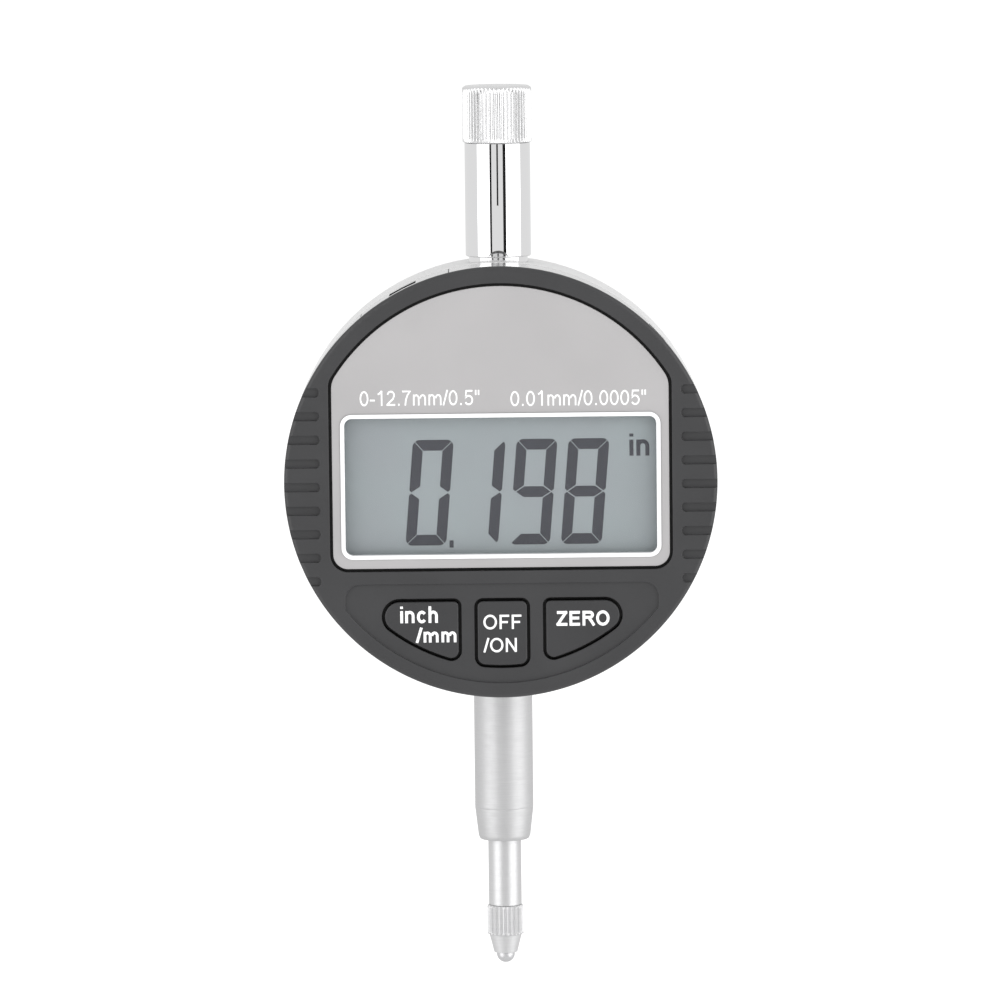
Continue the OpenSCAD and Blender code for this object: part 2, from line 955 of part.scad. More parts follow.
module carrier_screw() {
    z = (carrier_z[0] + carrier_z[1]) / 2;
    color([0.3, 0.3, 0.32])
        difference() {
            carrier_screw_bar(1 - bond, -carrier_half_w + 0.2, -spindle_r - 0.03);
            block(-carrier_half_w, -carrier_half_w + 0.8, axis_depth - 1.2, axis_depth + 1.2,
                z - 0.15, z + 0.15);
        }
}

module scale_strip() {
    color([0.75, 0.6, 0.3])
        block(-carrier_half_w, carrier_half_w, carrier_front - 1, carrier_front,
            strip_z[0], strip_z[1]);
}

module lift_head() {
    foot = lift_top - lift_h;
    color([0.78, 0.78, 0.8])
        lathe([[0, foot - stud_len], [stud_r, foot - stud_len], [stud_r, foot + bond],
            [lift_r, foot + bond], [lift_r, lift_top - 0.4], [lift_r - 0.4, lift_top],
            [0, lift_top]]);
}

front_bezel();
face_plate();
window_frame();
window_lens();
lcd_panel();
lcd_holder();
zebra_strip_upper();
zebra_strip_lower();
main_board();
controller_chip();
board_screws();
switch_left();
switch_middle();
switch_right();
battery_contact_positive();
battery_contact_negative();
port_contacts();
unit_button();
power_button();
zero_button();
case_ring();
case_gasket();
front_screws();
rear_case();
back_cover();
back_screws();
battery_drawer();
drawer_door();
battery_cell();
port_cover();
stem();
lower_bush();
upper_tube();
upper_bush();
dust_cap();
guide_rod();
stop_washer();
return_spring();
spindle();
contact_point();
contact_ball();
spindle_carrier();
carrier_screw();
scale_strip();
lift_head();
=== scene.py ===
"""Looks of a digital dial indicator, laid out as an add-on and run as a script."""

import json
import math

import bmesh
import bpy
from bpy.props import FloatProperty, FloatVectorProperty, IntProperty, PointerProperty, StringProperty
from bpy.types import Operator, Panel, PropertyGroup
from mathutils import Matrix, Vector


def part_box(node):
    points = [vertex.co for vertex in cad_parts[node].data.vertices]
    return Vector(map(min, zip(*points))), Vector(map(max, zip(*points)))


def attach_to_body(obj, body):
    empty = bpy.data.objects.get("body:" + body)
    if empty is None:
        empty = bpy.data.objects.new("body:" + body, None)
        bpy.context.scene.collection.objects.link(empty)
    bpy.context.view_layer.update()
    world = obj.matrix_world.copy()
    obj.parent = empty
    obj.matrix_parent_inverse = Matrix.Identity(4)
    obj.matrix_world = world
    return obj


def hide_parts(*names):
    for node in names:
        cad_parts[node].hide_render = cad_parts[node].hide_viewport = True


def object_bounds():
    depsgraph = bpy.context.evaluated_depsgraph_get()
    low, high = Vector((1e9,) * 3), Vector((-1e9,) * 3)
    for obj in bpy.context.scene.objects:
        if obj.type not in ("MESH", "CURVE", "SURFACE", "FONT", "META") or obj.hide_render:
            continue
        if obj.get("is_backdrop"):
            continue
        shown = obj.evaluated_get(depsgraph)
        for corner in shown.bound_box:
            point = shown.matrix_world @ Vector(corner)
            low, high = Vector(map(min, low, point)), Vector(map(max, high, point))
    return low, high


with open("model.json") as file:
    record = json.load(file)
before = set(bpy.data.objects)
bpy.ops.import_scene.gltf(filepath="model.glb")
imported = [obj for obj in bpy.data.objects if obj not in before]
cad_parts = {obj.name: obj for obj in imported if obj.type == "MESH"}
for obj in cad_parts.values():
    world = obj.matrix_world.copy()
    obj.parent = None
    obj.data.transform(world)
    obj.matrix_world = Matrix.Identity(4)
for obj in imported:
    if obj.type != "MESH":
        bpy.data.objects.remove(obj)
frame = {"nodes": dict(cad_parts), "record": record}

bl_info = {
    "name": "Dial indicator looks",
    "version": (1, 0, 0),
    "blender": (4, 5, 0),
    "location": "3D View > Sidebar > Dial indicator",
    "description": "Builds the visible pieces, finishes and stage of a digital dial indicator",
    "category": "Object",
}

NODES = frame["nodes"]
MM = 0.001


# ---- Places, in millimetres ----


def box_of(node):
    """Lowest and highest corner of a node of the frame."""
    low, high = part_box(node)
    return low / MM, high / MM


def half_width(node):
    """Half the width of a node, which is its radius where it is round."""
    low, high = box_of(node)
    return (high.x - low.x) / 2


BEZEL_LOW, BEZEL_HIGH = box_of("front_bezel")
FACE = BEZEL_LOW.y
DIAL = (BEZEL_LOW.z + BEZEL_HIGH.z) / 2
BEZEL_R = half_width("front_bezel")
RING_R = half_width("case_ring")
RIM = 0.8  # width of the bezel's outer rim, which is neither eased nor darkened by the painted gap shade
GAP_SHADE_START, GAP_SHADE_BLACK = 0.55, 0.9  # depths between which painted shade turns the gaps of the front black
PRINT = 0.01  # how far a legend stands in front of its surface


def front_depth(node):
    """How far the front of a node lies behind the bezel's face."""
    return box_of(node)[0].y - FACE


# ---- Sizes and colours that a user would change ----


def length_property(name, description, default):
    return FloatProperty(name=name, description=description, default=default * MM, unit="LENGTH", precision=5)


def colour_property(name, description, default):
    return FloatVectorProperty(
        name=name, description=description, default=default, size=3, min=0, max=1, subtype="COLOR"
    )


class ShellSettings(PropertyGroup):
    bezel: colour_property("Bezel", "Colour of the moulded bezel", (0.04, 0.04, 0.042))
    button: colour_property("Buttons", "Colour of the push buttons", (0.036, 0.036, 0.038))
    case: colour_property("Case", "Colour of the rear case and the back cover", (0.78, 0.78, 0.78))
    edge: length_property("Edge", "Rounding of the moulded edges", 0.1)
    cap_edge: length_property("Button edge", "Rounding of the buttons' edges", 0.18)


class DisplaySettings(PropertyGroup):
    plate: colour_property("Plate", "Colour of the face plate", (0.415, 0.406, 0.409))
    glass: colour_property("Glass", "Colour of the display's background", (0.235, 0.27, 0.28))
    ink: colour_property("Segments", "Colour of the display's segments", (0.02, 0.022, 0.034))
    legend: colour_property("Legends", "Colour of the printed legends", (0.95, 0.95, 0.95))
    reading: StringProperty(name="Reading", description="What the display shows", default="0.198")
    digit_h: length_property("Digit height", "Height of a digit", 14.29)
    digit_w: length_property("Digit width", "Width of a digit", 5.5)
    pitch: length_property("Digit pitch", "Distance from digit to digit", 6.985)
    slant: FloatProperty(
        name="Slant", description="Lean of the digits", default=math.radians(4.75), subtype="ANGLE"
    )


class MetalSettings(PropertyGroup):
    steel: colour_property("Steel", "Colour of the ground steel", (0.7, 0.7, 0.705))
    chrome: colour_property("Chrome", "Colour of the plated pieces", (0.88, 0.88, 0.885))
    cap_teeth: IntProperty(name="Cap teeth", description="Teeth round the dust cap", default=56, min=12)
    cap_depth: length_property("Cap tooth depth", "Depth of the dust cap's knurl", 0.22)
    tip_teeth: IntProperty(name="Tip teeth", description="Teeth round the contact point", default=24, min=8)
    tip_depth: length_property("Tip tooth depth", "Depth of the contact point's knurl", 0.3)
    thread_pitch: length_property("Thread pitch", "Pitch of the thread under the dust cap", 0.6)
    spring_turns: IntProperty(
        name="Spring turns", description="Turns of the return spring", default=12, min=4
    )


class StageSettings(PropertyGroup):
    distance: length_property("Camera distance", "From the camera to the dial", 880)
    elevation: FloatProperty(
        name="Camera elevation", description="Height of the camera", default=math.radians(6), subtype="ANGLE"
    )
    roll: FloatProperty(
        name="Camera roll", description="Turn of the camera", default=math.radians(-0.62), subtype="ANGLE"
    )
    focal: FloatProperty(name="Focal length", description="In millimetres on a 36 mm sensor", default=235.6)
    sky: FloatProperty(name="Sky", description="Brightness of the surroundings", default=0.8)
    box: FloatProperty(name="Side light", description="Brightness of the side lights", default=1.2)


# ---- Node graphs for finishes ----


class Finish:
    """A material built from a Principled shader and patterns in object space, in millimetres."""

    def __init__(self, name, colour, roughness, metallic=0.0, **sockets):
        self.material = bpy.data.materials.new(name)
        self.material.use_nodes = True
        self.tree = self.material.node_tree
        self.shader = self.tree.nodes["Principled BSDF"]
        self.colour = (*colour, 1.0)
        self.shader.inputs["Base Color"].default_value = self.colour
        self.shader.inputs["Roughness"].default_value = roughness
        self.shader.inputs["Metallic"].default_value = metallic
        for socket, value in sockets.items():
            self.shader.inputs[socket.replace("_", " ")].default_value = value
        self.place = self.add("ShaderNodeTexCoord").outputs["Object"]
        self.bumps = None

    def add(self, kind, **settings):
        node = self.tree.nodes.new(kind)
        for key, value in settings.items():
            setattr(node, key, value)
        return node

    def join(self, source, target):
        self.tree.links.new(source, target)

    def stretched(self, scale, turn=(0, 0, 0)):
        """Object space in millimetres, times scale along each axis."""
        mapping = self.add("ShaderNodeMapping")
        mapping.inputs["Scale"].default_value = [s / MM for s in scale]
        mapping.inputs["Rotation"].default_value = turn
        self.join(self.place, mapping.inputs["Vector"])
        return mapping.outputs["Vector"]

    def noise(self, scale, detail):
        node = self.add("ShaderNodeTexNoise")
        node.inputs["Scale"].default_value = 1.0
        node.inputs["Detail"].default_value = detail
        self.join(self.stretched(scale), node.inputs["Vector"])
        return node.outputs["Fac"]

    def ranged(self, value, low, high, start=0.3, end=0.7):
        node = self.add("ShaderNodeMapRange")
        for socket, number in (("From Min", start), ("From Max", end), ("To Min", low), ("To Max", high)):
            node.inputs[socket].default_value = number
        self.join(value, node.inputs["Value"])
        return node.outputs["Result"]

    def rough(self, value, low, high):
        self.join(self.ranged(value, low, high), self.shader.inputs["Roughness"])
        return self

    def tint(self, value, other):
        """Mixes the base colour towards another where value is high."""
        node = self.add("ShaderNodeMix", data_type="RGBA")
        node.inputs["A"].default_value = self.colour
        node.inputs["B"].default_value = (*other, 1.0)
        self.join(self.ranged(value, 0, 1), node.inputs["Factor"])
        self.join(node.outputs["Result"], self.shader.inputs["Base Color"])
        return self

    def paint_recess_shade(self, start, end):
        """Painted shade: blackens what lies inside the rim, from one depth behind the face to another, so
        that the gaps of the front look shadowed.
        """
        parts = self.add("ShaderNodeSeparateXYZ")
        self.join(self.stretched((1, 1, 1)), parts.inputs[0])
        flat = self.add("ShaderNodeCombineXYZ")
        for axis in "XZ":
            self.join(parts.outputs[axis], flat.inputs[axis])
        reach = self.add("ShaderNodeVectorMath", operation="DISTANCE")
        reach.inputs[1].default_value = (0, 0, DIAL)
        self.join(flat.outputs[0], reach.inputs[0])
        share = self.add("ShaderNodeMath", operation="MULTIPLY")
        self.join(self.ranged(parts.outputs["Y"], 0, 1, FACE + start, FACE + end), share.inputs[0])
        edge = BEZEL_R - RIM
        self.join(self.ranged(reach.outputs["Value"], 1, 0, BEZEL_R - 1, edge), share.inputs[1])
        node = self.add("ShaderNodeMix", data_type="RGBA")
        self.join(self.shader.inputs["Base Color"].links[0].from_socket, node.inputs["A"])
        node.inputs["B"].default_value = (0.001, 0.001, 0.001, 1)
        self.join(share.outputs[0], node.inputs["Factor"])
        self.join(node.outputs["Result"], self.shader.inputs["Base Color"])
        return self

    def bump(self, value, height, strength):
        """Adds a relief of the given height in millimetres."""
        node = self.add("ShaderNodeBump")
        node.inputs["Strength"].default_value = strength
        node.inputs["Distance"].default_value = height * MM
        self.join(value, node.inputs["Height"])
        if self.bumps:
            self.join(self.bumps, node.inputs["Normal"])
        self.bumps = node.outputs["Normal"]
        self.join(self.bumps, self.shader.inputs["Normal"])
        return self


def darker(colour, share):
    return [c * share for c in colour]


def moulded_plastic(name, colour, roughness=0.42, grain=0.012, flow=0.86, gap_shading=False):
    """Fine spark-eroded grain with faint flow marks, and painted shade that blackens the gaps if the piece
    has them.
    """
    finish = Finish(name, colour, roughness)
    finish.tint(finish.noise((0.12, 0.12, 0.12), 4), darker(colour, flow))
    # painted shade: the gaps turn black with depth behind the face
    if gap_shading:
        finish.paint_recess_shade(GAP_SHADE_START, GAP_SHADE_BLACK)
    finish.rough(finish.noise((3, 3, 3), 2), roughness - 0.06, roughness + 0.06)
    finish.bump(finish.noise((9, 9, 9), 2), grain, 0.6)
    return finish.material


def printed_plate(name, colour):
    """Satin film with a very fine horizontal grain."""
    finish = Finish(name, colour, 0.34)
    finish.tint(finish.noise((0.08, 0.08, 0.08), 2), darker(colour, 0.94))
    finish.rough(finish.noise((0.6, 6, 14), 3), 0.3, 0.38)
    finish.bump(finish.noise((2, 10, 22), 2), 0.002, 0.4)
    return finish.material


def bright_bead(name, colour):
    finish = Finish(name, colour, 0.22, Coat_Weight=0.6)
    finish.rough(finish.noise((4, 4, 4), 3), 0.18, 0.28)
    finish.bump(finish.noise((6, 6, 6), 2), 0.003, 0.5)
    return finish.material


def clear_window(name):
    """Thin clear pane: mostly lets light through, and mirrors a little at a slant."""
    finish = Finish(name, (0.6, 0.6, 0.6), 0.03, Alpha=0.03, IOR=1.49)
    finish.rough(finish.noise((0.4, 0.4, 0.4), 4), 0.02, 0.06)
    return finish.material


def display_glass(name, colour):
    """Reflective polariser with a faint cloudy film, and a faint painted glow in its own colour that lightens
    the shade of the window's recess.
    """
    # The emission is painted light: a glow that lifts the display out of the recess's shade.
    finish = Finish(name, colour, 0.45, Emission_Color=(*colour, 1.0), Emission_Strength=0.14)
    finish.tint(finish.noise((0.09, 0.09, 0.09), 3), (colour[0] * 0.97, colour[1] * 0.93, colour[2] * 0.95))
    finish.rough(finish.noise((12, 12, 12), 2), 0.4, 0.5)
    finish.bump(finish.noise((20, 20, 20), 2), 0.002, 0.3)
    return finish.material


def printing_ink(name, colour, roughness=0.5):
    """Screen printing: slightly uneven in gloss and thickness."""
    finish = Finish(name, colour, roughness)
    finish.rough(finish.noise((5, 5, 5), 3), roughness - 0.08, roughness + 0.08)
    finish.bump(finish.noise((14, 14, 14), 2), 0.004, 0.5)
    return finish.material


def turned_steel(name, colour, roughness=0.3):
    """Ground steel: fine rings round the axis and a soft cloud of wear."""
    finish = Finish(name, colour, roughness, 1.0)
    rings = finish.noise((0.35, 0.35, 28), 3)
    finish.tint(rings, darker(colour, 0.93))
    finish.rough(finish.noise((0.5, 0.5, 6), 4), roughness - 0.05, roughness + 0.07)
    finish.bump(rings, 0.0012, 0.5)
    return finish.material


def plated_chrome(name, colour, roughness=0.02):
    """Bright plating with a trace of haze."""
    finish = Finish(name, colour, roughness, 1.0)
    finish.rough(finish.noise((0.5, 0.5, 0.25), 4), roughness * 0.6, roughness * 1.8)
    finish.bump(finish.noise((0.7, 0.7, 0.35), 2), 0.002, 0.25)
    return finish.material


def satin_metal(name, colour, roughness=0.26):
    """Fine-blasted and lightly brushed round the case."""
    finish = Finish(name, colour, roughness, 1.0)
    finish.tint(finish.noise((0.15, 0.15, 0.15), 3), darker(colour, 0.93))
    finish.rough(finish.noise((0.8, 16, 0.8), 3), roughness - 0.05, roughness + 0.06)
    finish.bump(finish.noise((1.2, 24, 1.2), 2), 0.0015, 0.4)
    return finish.material


def soft_rubber(name, colour):
    finish = Finish(name, colour, 0.75)
    finish.tint(finish.noise((0.5, 0.5, 0.5), 4), [c * 1.5 + 0.004 for c in colour])
    finish.rough(finish.noise((4, 4, 4), 3), 0.68, 0.85)
    finish.bump(finish.noise((10, 10, 10), 3), 0.01, 0.6)
    return finish.material


def solder_mask(name, colour):
    """Green lacquer over copper tracks that run both ways."""
    finish = Finish(name, colour, 0.3, Coat_Weight=0.5)
    tracks = finish.add("ShaderNodeTexBrick")
    tracks.inputs["Scale"].default_value = 1.0
    tracks.inputs["Color1"].default_value = (1, 1, 1, 1)
    tracks.inputs["Color2"].default_value = (0.8, 0.8, 0.8, 1)
    tracks.inputs["Mortar"].default_value = (0, 0, 0, 1)
    tracks.inputs["Mortar Size"].default_value = 0.06
    finish.join(finish.stretched((0.5, 0.5, 0.5), (math.radians(90), 0, 0)), tracks.inputs["Vector"])
    finish.tint(tracks.outputs["Fac"], [min(1, c * 2.2) for c in colour])
    finish.rough(finish.noise((2, 2, 2), 3), 0.25, 0.4)
    finish.bump(tracks.outputs["Fac"], 0.03, 0.6)
    return finish.material


def layered_elastomer(name, colour):
    """Thin conducting and insulating layers side by side along the strip."""
    finish = Finish(name, colour, 0.6)
    layers = finish.add("ShaderNodeTexWave", bands_direction="X")
    layers.inputs["Scale"].default_value = 1.6
    finish.join(finish.stretched((1, 1, 1)), layers.inputs["Vector"])
    finish.tint(layers.outputs["Fac"], (0.5, 0.48, 0.44))
    finish.bump(layers.outputs["Fac"], 0.01, 0.5)
    return finish.material


def etched_strip(name, colour):
    """Laminate with plated bars across it."""
    finish = Finish(name, colour, 0.4)
    bars = finish.add("ShaderNodeTexWave", bands_direction="Z")
    bars.inputs["Scale"].default_value = 0.62
    finish.join(finish.stretched((1, 1, 1)), bars.inputs["Vector"])
    finish.tint(bars.outputs["Fac"], (0.75, 0.55, 0.22))
    finish.rough(finish.noise((3, 3, 3), 3), 0.3, 0.5)
    finish.bump(bars.outputs["Fac"], 0.01, 0.5)
    return finish.material


SWITCH_BLACK = (0.02, 0.02, 0.02)
CONTACT_BRASS = (0.85, 0.68, 0.36)
BUSH_BRASS = (0.78, 0.57, 0.27)

FRAME_FINISHES = {
    # node shown as it is in the frame: (finish, name of the material, colour, roughness if not the usual)
    "lcd_holder": (moulded_plastic, "holder_plastic", (0.8, 0.8, 0.76)),
    "zebra_strip_upper": (layered_elastomer, "upper_strip", (0.02, 0.02, 0.02)),
    "zebra_strip_lower": (layered_elastomer, "lower_strip", (0.02, 0.02, 0.02)),
    "main_board": (solder_mask, "board_mask", (0.012, 0.12, 0.045)),
    "controller_chip": (moulded_plastic, "chip_epoxy", (0.012, 0.012, 0.013), 0.35),
    "switch_left": (moulded_plastic, "left_switch_body", SWITCH_BLACK),
    "switch_middle": (moulded_plastic, "middle_switch_body", SWITCH_BLACK),
    "switch_right": (moulded_plastic, "right_switch_body", SWITCH_BLACK),
    "battery_contact_positive": (turned_steel, "positive_leaf", CONTACT_BRASS, 0.3),
    "battery_contact_negative": (turned_steel, "negative_leaf", CONTACT_BRASS, 0.3),
    "port_contacts": (turned_steel, "port_gold", (0.9, 0.68, 0.3), 0.22),
    "case_gasket": (soft_rubber, "gasket_rubber", (0.02, 0.02, 0.02)),
    "guide_rod": (turned_steel, "rod_steel", (0.7, 0.7, 0.71), 0.2),
    "stop_washer": (soft_rubber, "washer_rubber", (0.02, 0.02, 0.02)),
    "lower_bush": (turned_steel, "lower_bush_brass", BUSH_BRASS, 0.32),
    "upper_bush": (turned_steel, "upper_bush_brass", BUSH_BRASS, 0.32),
    "spindle_carrier": (satin_metal, "carrier_aluminium", (0.72, 0.72, 0.74), 0.32),
    "carrier_screw": (turned_steel, "black_screw", (0.12, 0.12, 0.13), 0.4),
    "scale_strip": (etched_strip, "strip_laminate", (0.05, 0.16, 0.07)),
}


# ---- Meshes and pieces ----


def to_mesh(name, maker, crease=math.radians(30)):
    """A mesh in metres from a bmesh that maker fills in millimetres."""
    shape = bmesh.new()
    maker(shape)
    bmesh.ops.remove_doubles(shape, verts=shape.verts, dist=1e-4)
    bmesh.ops.recalc_face_normals(shape, faces=shape.faces)
    bmesh.ops.scale(shape, vec=(MM, MM, MM), verts=shape.verts)
    mesh = bpy.data.meshes.new(name)
    shape.to_mesh(mesh)
    shape.free()
    smooth(mesh, crease)
    return mesh


def smooth(mesh, crease):
    mesh.shade_smooth()
    mesh.set_sharp_from_angle(angle=crease)


def linked(name, data):
    """A new object in the scene."""
    made = bpy.data.objects.new(name, data)
    bpy.context.scene.collection.objects.link(made)
    return made


def add_piece(name, mesh, body, material, stands_for=(), slot=None):
    """Adds a finished mesh to the object, on a body of the frame."""
    piece = linked(name, mesh)
    mesh.materials.clear()
    mesh.materials.append(material)
    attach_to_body(piece, body)
    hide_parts(*stands_for)
    slot or stands_for[0]
    return piece


def applied(mesh, name, build):
    """The mesh after build(object) has added modifiers to it."""
    draft = linked(name, mesh)
    build(draft)
    graph = bpy.context.evaluated_depsgraph_get()
    result = bpy.data.meshes.new_from_object(draft.evaluated_get(graph))
    bpy.data.objects.remove(draft)
    result.name = name
    return result


def eased(node, width, segments, reach=None, depth=None):
    """A copy of a node's mesh with its sharp edges rounded to the given width, in millimetres.

    With reach and depth, only edges within that radius of the dial's axis and nearer the face are.
    """
    shape = bmesh.new()
    shape.from_mesh(NODES[node].data)
    same_place, flat, sharp = 2e-6, math.radians(0.3), math.radians(35)
    bmesh.ops.remove_doubles(shape, verts=shape.verts, dist=same_place)
    bmesh.ops.dissolve_limit(shape, angle_limit=flat, verts=shape.verts, edges=shape.edges)
    weight = shape.edges.layers.float.new("bevel_weight_edge")

    def near(vert):
        x, y, z = vert.co / MM
        return (reach is None or math.hypot(x, z - DIAL) < reach) and (depth is None or y - FACE < depth)

    for edge in shape.edges:
        edge.smooth = True
        if len(edge.link_faces) == 2 and edge.calc_face_angle() > sharp:
            chosen = all(near(vert) for vert in edge.verts)
            edge[weight] = float(chosen)
            edge.smooth = chosen
    mesh = bpy.data.meshes.new(node)
    shape.to_mesh(mesh)
    shape.free()
    mesh.polygons.foreach_set("use_smooth", [True] * len(mesh.polygons))

    def round_edges(draft):
        bevel = draft.modifiers.new("edges", "BEVEL")
        bevel.width = width * MM
        bevel.segments = segments
        bevel.limit_method = "WEIGHT"
        bevel.use_clamp_overlap = False
        level = draft.modifiers.new("normals", "WEIGHTED_NORMAL")
        level.weight = 100
        level.keep_sharp = True

    return applied(mesh, node + "_eased", round_edges)


def eased_piece(name, node, body, material, width, segments, **limits):
    """Adds a copy of a node with its edges rounded, which stands for that node."""
    return add_piece(name, eased(node, width, segments, **limits), body, material, [node])


def rounded(points, radius, steps=4):
    """A profile of (radius, height) points with its inner corners rounded."""
    soft = [points[0]]
    for before, corner, after in zip(points, points[1:], points[2:]):
        a, b, c = Vector(before), Vector(corner), Vector(after)
        reach = min(radius, (a - b).length / 2.2, (c - b).length / 2.2)
        start = b + (a - b).normalized() * reach
        end = b + (c - b).normalized() * reach
        for i in range(steps + 1):
            t = i / steps
            soft.append(tuple(start * (1 - t) ** 2 + b * 2 * t * (1 - t) + end * t * t))
    return soft + [points[-1]]


def turn(shape, profile, steps, closed):
    """Turns a profile of (radius, height) points about the spindle axis."""
    rings = []
    for radius, height in profile:
        count = steps if radius > 1e-6 else 1
        rings.append(
            [
                shape.verts.new((radius * math.cos(a), radius * math.sin(a), height))
                for a in (2 * math.pi * i / count for i in range(count))
            ]
        )
    pairs = list(zip(rings, rings[1:])) + ([(rings[-1], rings[0])] if closed else [])
    for lower, upper in pairs:
        for i in range(steps):
            j = (i + 1) % steps
            corners = [ring[k % len(ring)] for ring, k in ((lower, i), (lower, j), (upper, j), (upper, i))]
            unique = list(dict.fromkeys(corners))
            if len(unique) > 2:
                shape.faces.new(unique)


def turned_mesh(name, profile, steps, closed=False):
    return to_mesh(name, lambda shape: turn(shape, profile, steps, closed))


def straight_wall(radius, foot, rise, rows):
    """Profile points up a straight wall, close enough together to be cut into teeth or a thread."""
    return [(radius, foot + rise * i / rows) for i in range(rows + 1)]


def slab(shape, outline, front, back):
    """A plate from an outline of (x, height) points about the dial centre, between two depths."""
    near = [shape.verts.new((x, FACE + front, DIAL + z)) for x, z in outline]
    far = [shape.verts.new((x, FACE + back, DIAL + z)) for x, z in outline]
    shape.faces.new(near)
    shape.faces.new(list(reversed(far)))
    for i in range(len(near)):
        j = (i + 1) % len(near)
        shape.faces.new((near[i], far[i], far[j], near[j]))


# ---- Geometry Nodes ----


class Graph:
    """A geometry node group with named inputs, which ends in Realize Instances and Set Material."""

    def __init__(self, name, inputs):
        self.tree = bpy.data.node_groups.new(name, "GeometryNodeTree")
        sockets = self.tree.interface
        sockets.new_socket("Geometry", in_out="OUTPUT", socket_type="NodeSocketGeometry")
        sockets.new_socket("Geometry", in_out="INPUT", socket_type="NodeSocketGeometry")
        self.keys = {}
        for label, kind in inputs.items():
            socket = sockets.new_socket(label, in_out="INPUT", socket_type="NodeSocket" + kind)
            self.keys[label] = socket.identifier
        self.inputs = self.add("NodeGroupInput").outputs

    def add(self, kind, values=None, **settings):
        node = self.tree.nodes.new(kind)
        for key, value in settings.items():
            setattr(node, key, value)
        for socket, value in (values or {}).items():
            if hasattr(value, "is_output"):
                self.tree.links.new(value, node.inputs[socket])
            else:
                node.inputs[socket].default_value = value
        return node

    def math(self, operation, a, b=0.0, c=0.0):
        node = self.add("ShaderNodeMath", {0: a, 1: b, 2: c}, operation=operation)
        return node.outputs[0]

    def vector(self, x, y, z):
        return self.add("ShaderNodeCombineXYZ", {"X": x, "Y": y, "Z": z}).outputs[0]

    def finish(self, geometry):
        solid = self.add("GeometryNodeRealizeInstances", {"Geometry": geometry}).outputs[0]
        painted = self.add(
            "GeometryNodeSetMaterial", {"Geometry": solid, "Material": self.inputs["Material"]}
        ).outputs[0]
        self.add("NodeGroupOutput", {"Geometry": painted})

    def run(self, mesh, name, values):
        """The mesh after the graph, with its inputs set by their identifiers."""

        def attach(draft):
            modifier = draft.modifiers.new(self.tree.name, "NODES")
            modifier.node_group = self.tree
            for label, value in values.items():
                modifier[self.keys[label]] = value

        result = applied(mesh, name, attach)
        smooth(result, math.radians(40))
        return result


def groove_graph():
    """Cuts teeth or a thread into a turned surface: a wave round the axis that may also climb it."""
    graph = Graph(
        "grooves",
        {
            "Starts": "Float",
            "Turns per Metre": "Float",
            "Depth": "Float",
            "Foot": "Float",
            "Top": "Float",
            "Run Out": "Float",
            "Least Radius": "Float",
            "Material": "Material",
        },
    )
    given = graph.inputs
    place = graph.add("GeometryNodeInputPosition").outputs[0]
    parts = graph.add("ShaderNodeSeparateXYZ", {0: place}).outputs
    angle = graph.math("ARCTAN2", parts["Y"], parts["X"])
    steepness = graph.math("MULTIPLY", given["Turns per Metre"], 2 * math.pi)
    climb = graph.math("MULTIPLY", parts["Z"], steepness)
    phase = graph.math("SUBTRACT", graph.math("MULTIPLY", angle, given["Starts"]), climb)
    wave = graph.math("MULTIPLY_ADD", graph.math("COSINE", phase), 0.5, 0.5)
    valley = graph.math("POWER", wave, 0.8)
    above = graph.math("DIVIDE", graph.math("SUBTRACT", parts["Z"], given["Foot"]), given["Run Out"])
    below = graph.math("DIVIDE", graph.math("SUBTRACT", given["Top"], parts["Z"]), given["Run Out"])
    inside = graph.math("MINIMUM", graph.math("MINIMUM", above, below), 1.0)
    inside = graph.math("MAXIMUM", inside, 0.0)
    flat = graph.vector(parts["X"], parts["Y"], 0.0)
    radius = graph.add("ShaderNodeVectorMath", {0: flat}, operation="LENGTH").outputs["Value"]
    outer = graph.math("GREATER_THAN", radius, given["Least Radius"])
    amount = graph.math("MULTIPLY", graph.math("MULTIPLY", valley, inside), given["Depth"])
    amount = graph.math("MULTIPLY", graph.math("MULTIPLY", amount, outer), -1.0)
    out = graph.add("ShaderNodeVectorMath", {0: flat}, operation="NORMALIZE").outputs[0]
    shift = graph.add("ShaderNodeVectorMath", {0: out, "Scale": amount}, operation="SCALE").outputs[0]
    moved = graph.add("GeometryNodeSetPosition", {"Geometry": given["Geometry"], "Offset": shift})
    graph.finish(moved.outputs[0])
    return graph


def grooved(mesh, name, finish, starts, depth, span, run_out, least_r, turns_per_metre=0.0):
    """A turned mesh with teeth or a thread cut into it over a span of heights, in millimetres."""
    foot, top = span
    values = {
        "Starts": float(starts),
        "Turns per Metre": turns_per_metre,
        "Depth": depth * MM,
        "Foot": foot * MM,
        "Top": top * MM,
        "Run Out": run_out * MM,
        "Least Radius": least_r * MM,
        "Material": finish,
    }
    return groove_graph().run(mesh, name, values)


def coil_graph():
    """A round wire wound on the spindle axis, with closed ends."""
    graph = Graph(
        "coil",
        {
            "Turns": "Float",
            "Radius": "Float",
            "Wire Radius": "Float",
            "Foot": "Float",
            "Length": "Float",
            "Material": "Material",
        },
    )
    given = graph.inputs
    path = graph.add(
        "GeometryNodeCurveSpiral",
        {
            "Resolution": 40,
            "Rotations": given["Turns"],
            "Start Radius": given["Radius"],
            "End Radius": given["Radius"],
            "Height": given["Length"],
        },
    ).outputs[0]
    wire = graph.add(
        "GeometryNodeCurvePrimitiveCircle", {"Resolution": 12, "Radius": given["Wire Radius"]}
    )
    tube = graph.add(
        "GeometryNodeCurveToMesh",
        {"Curve": path, "Profile Curve": wire.outputs[0], "Fill Caps": True},
    ).outputs[0]
    lift = graph.vector(0.0, 0.0, given["Foot"])
    graph.finish(graph.add("GeometryNodeTransform", {"Geometry": tube, "Translation": lift}).outputs[0])
    return graph


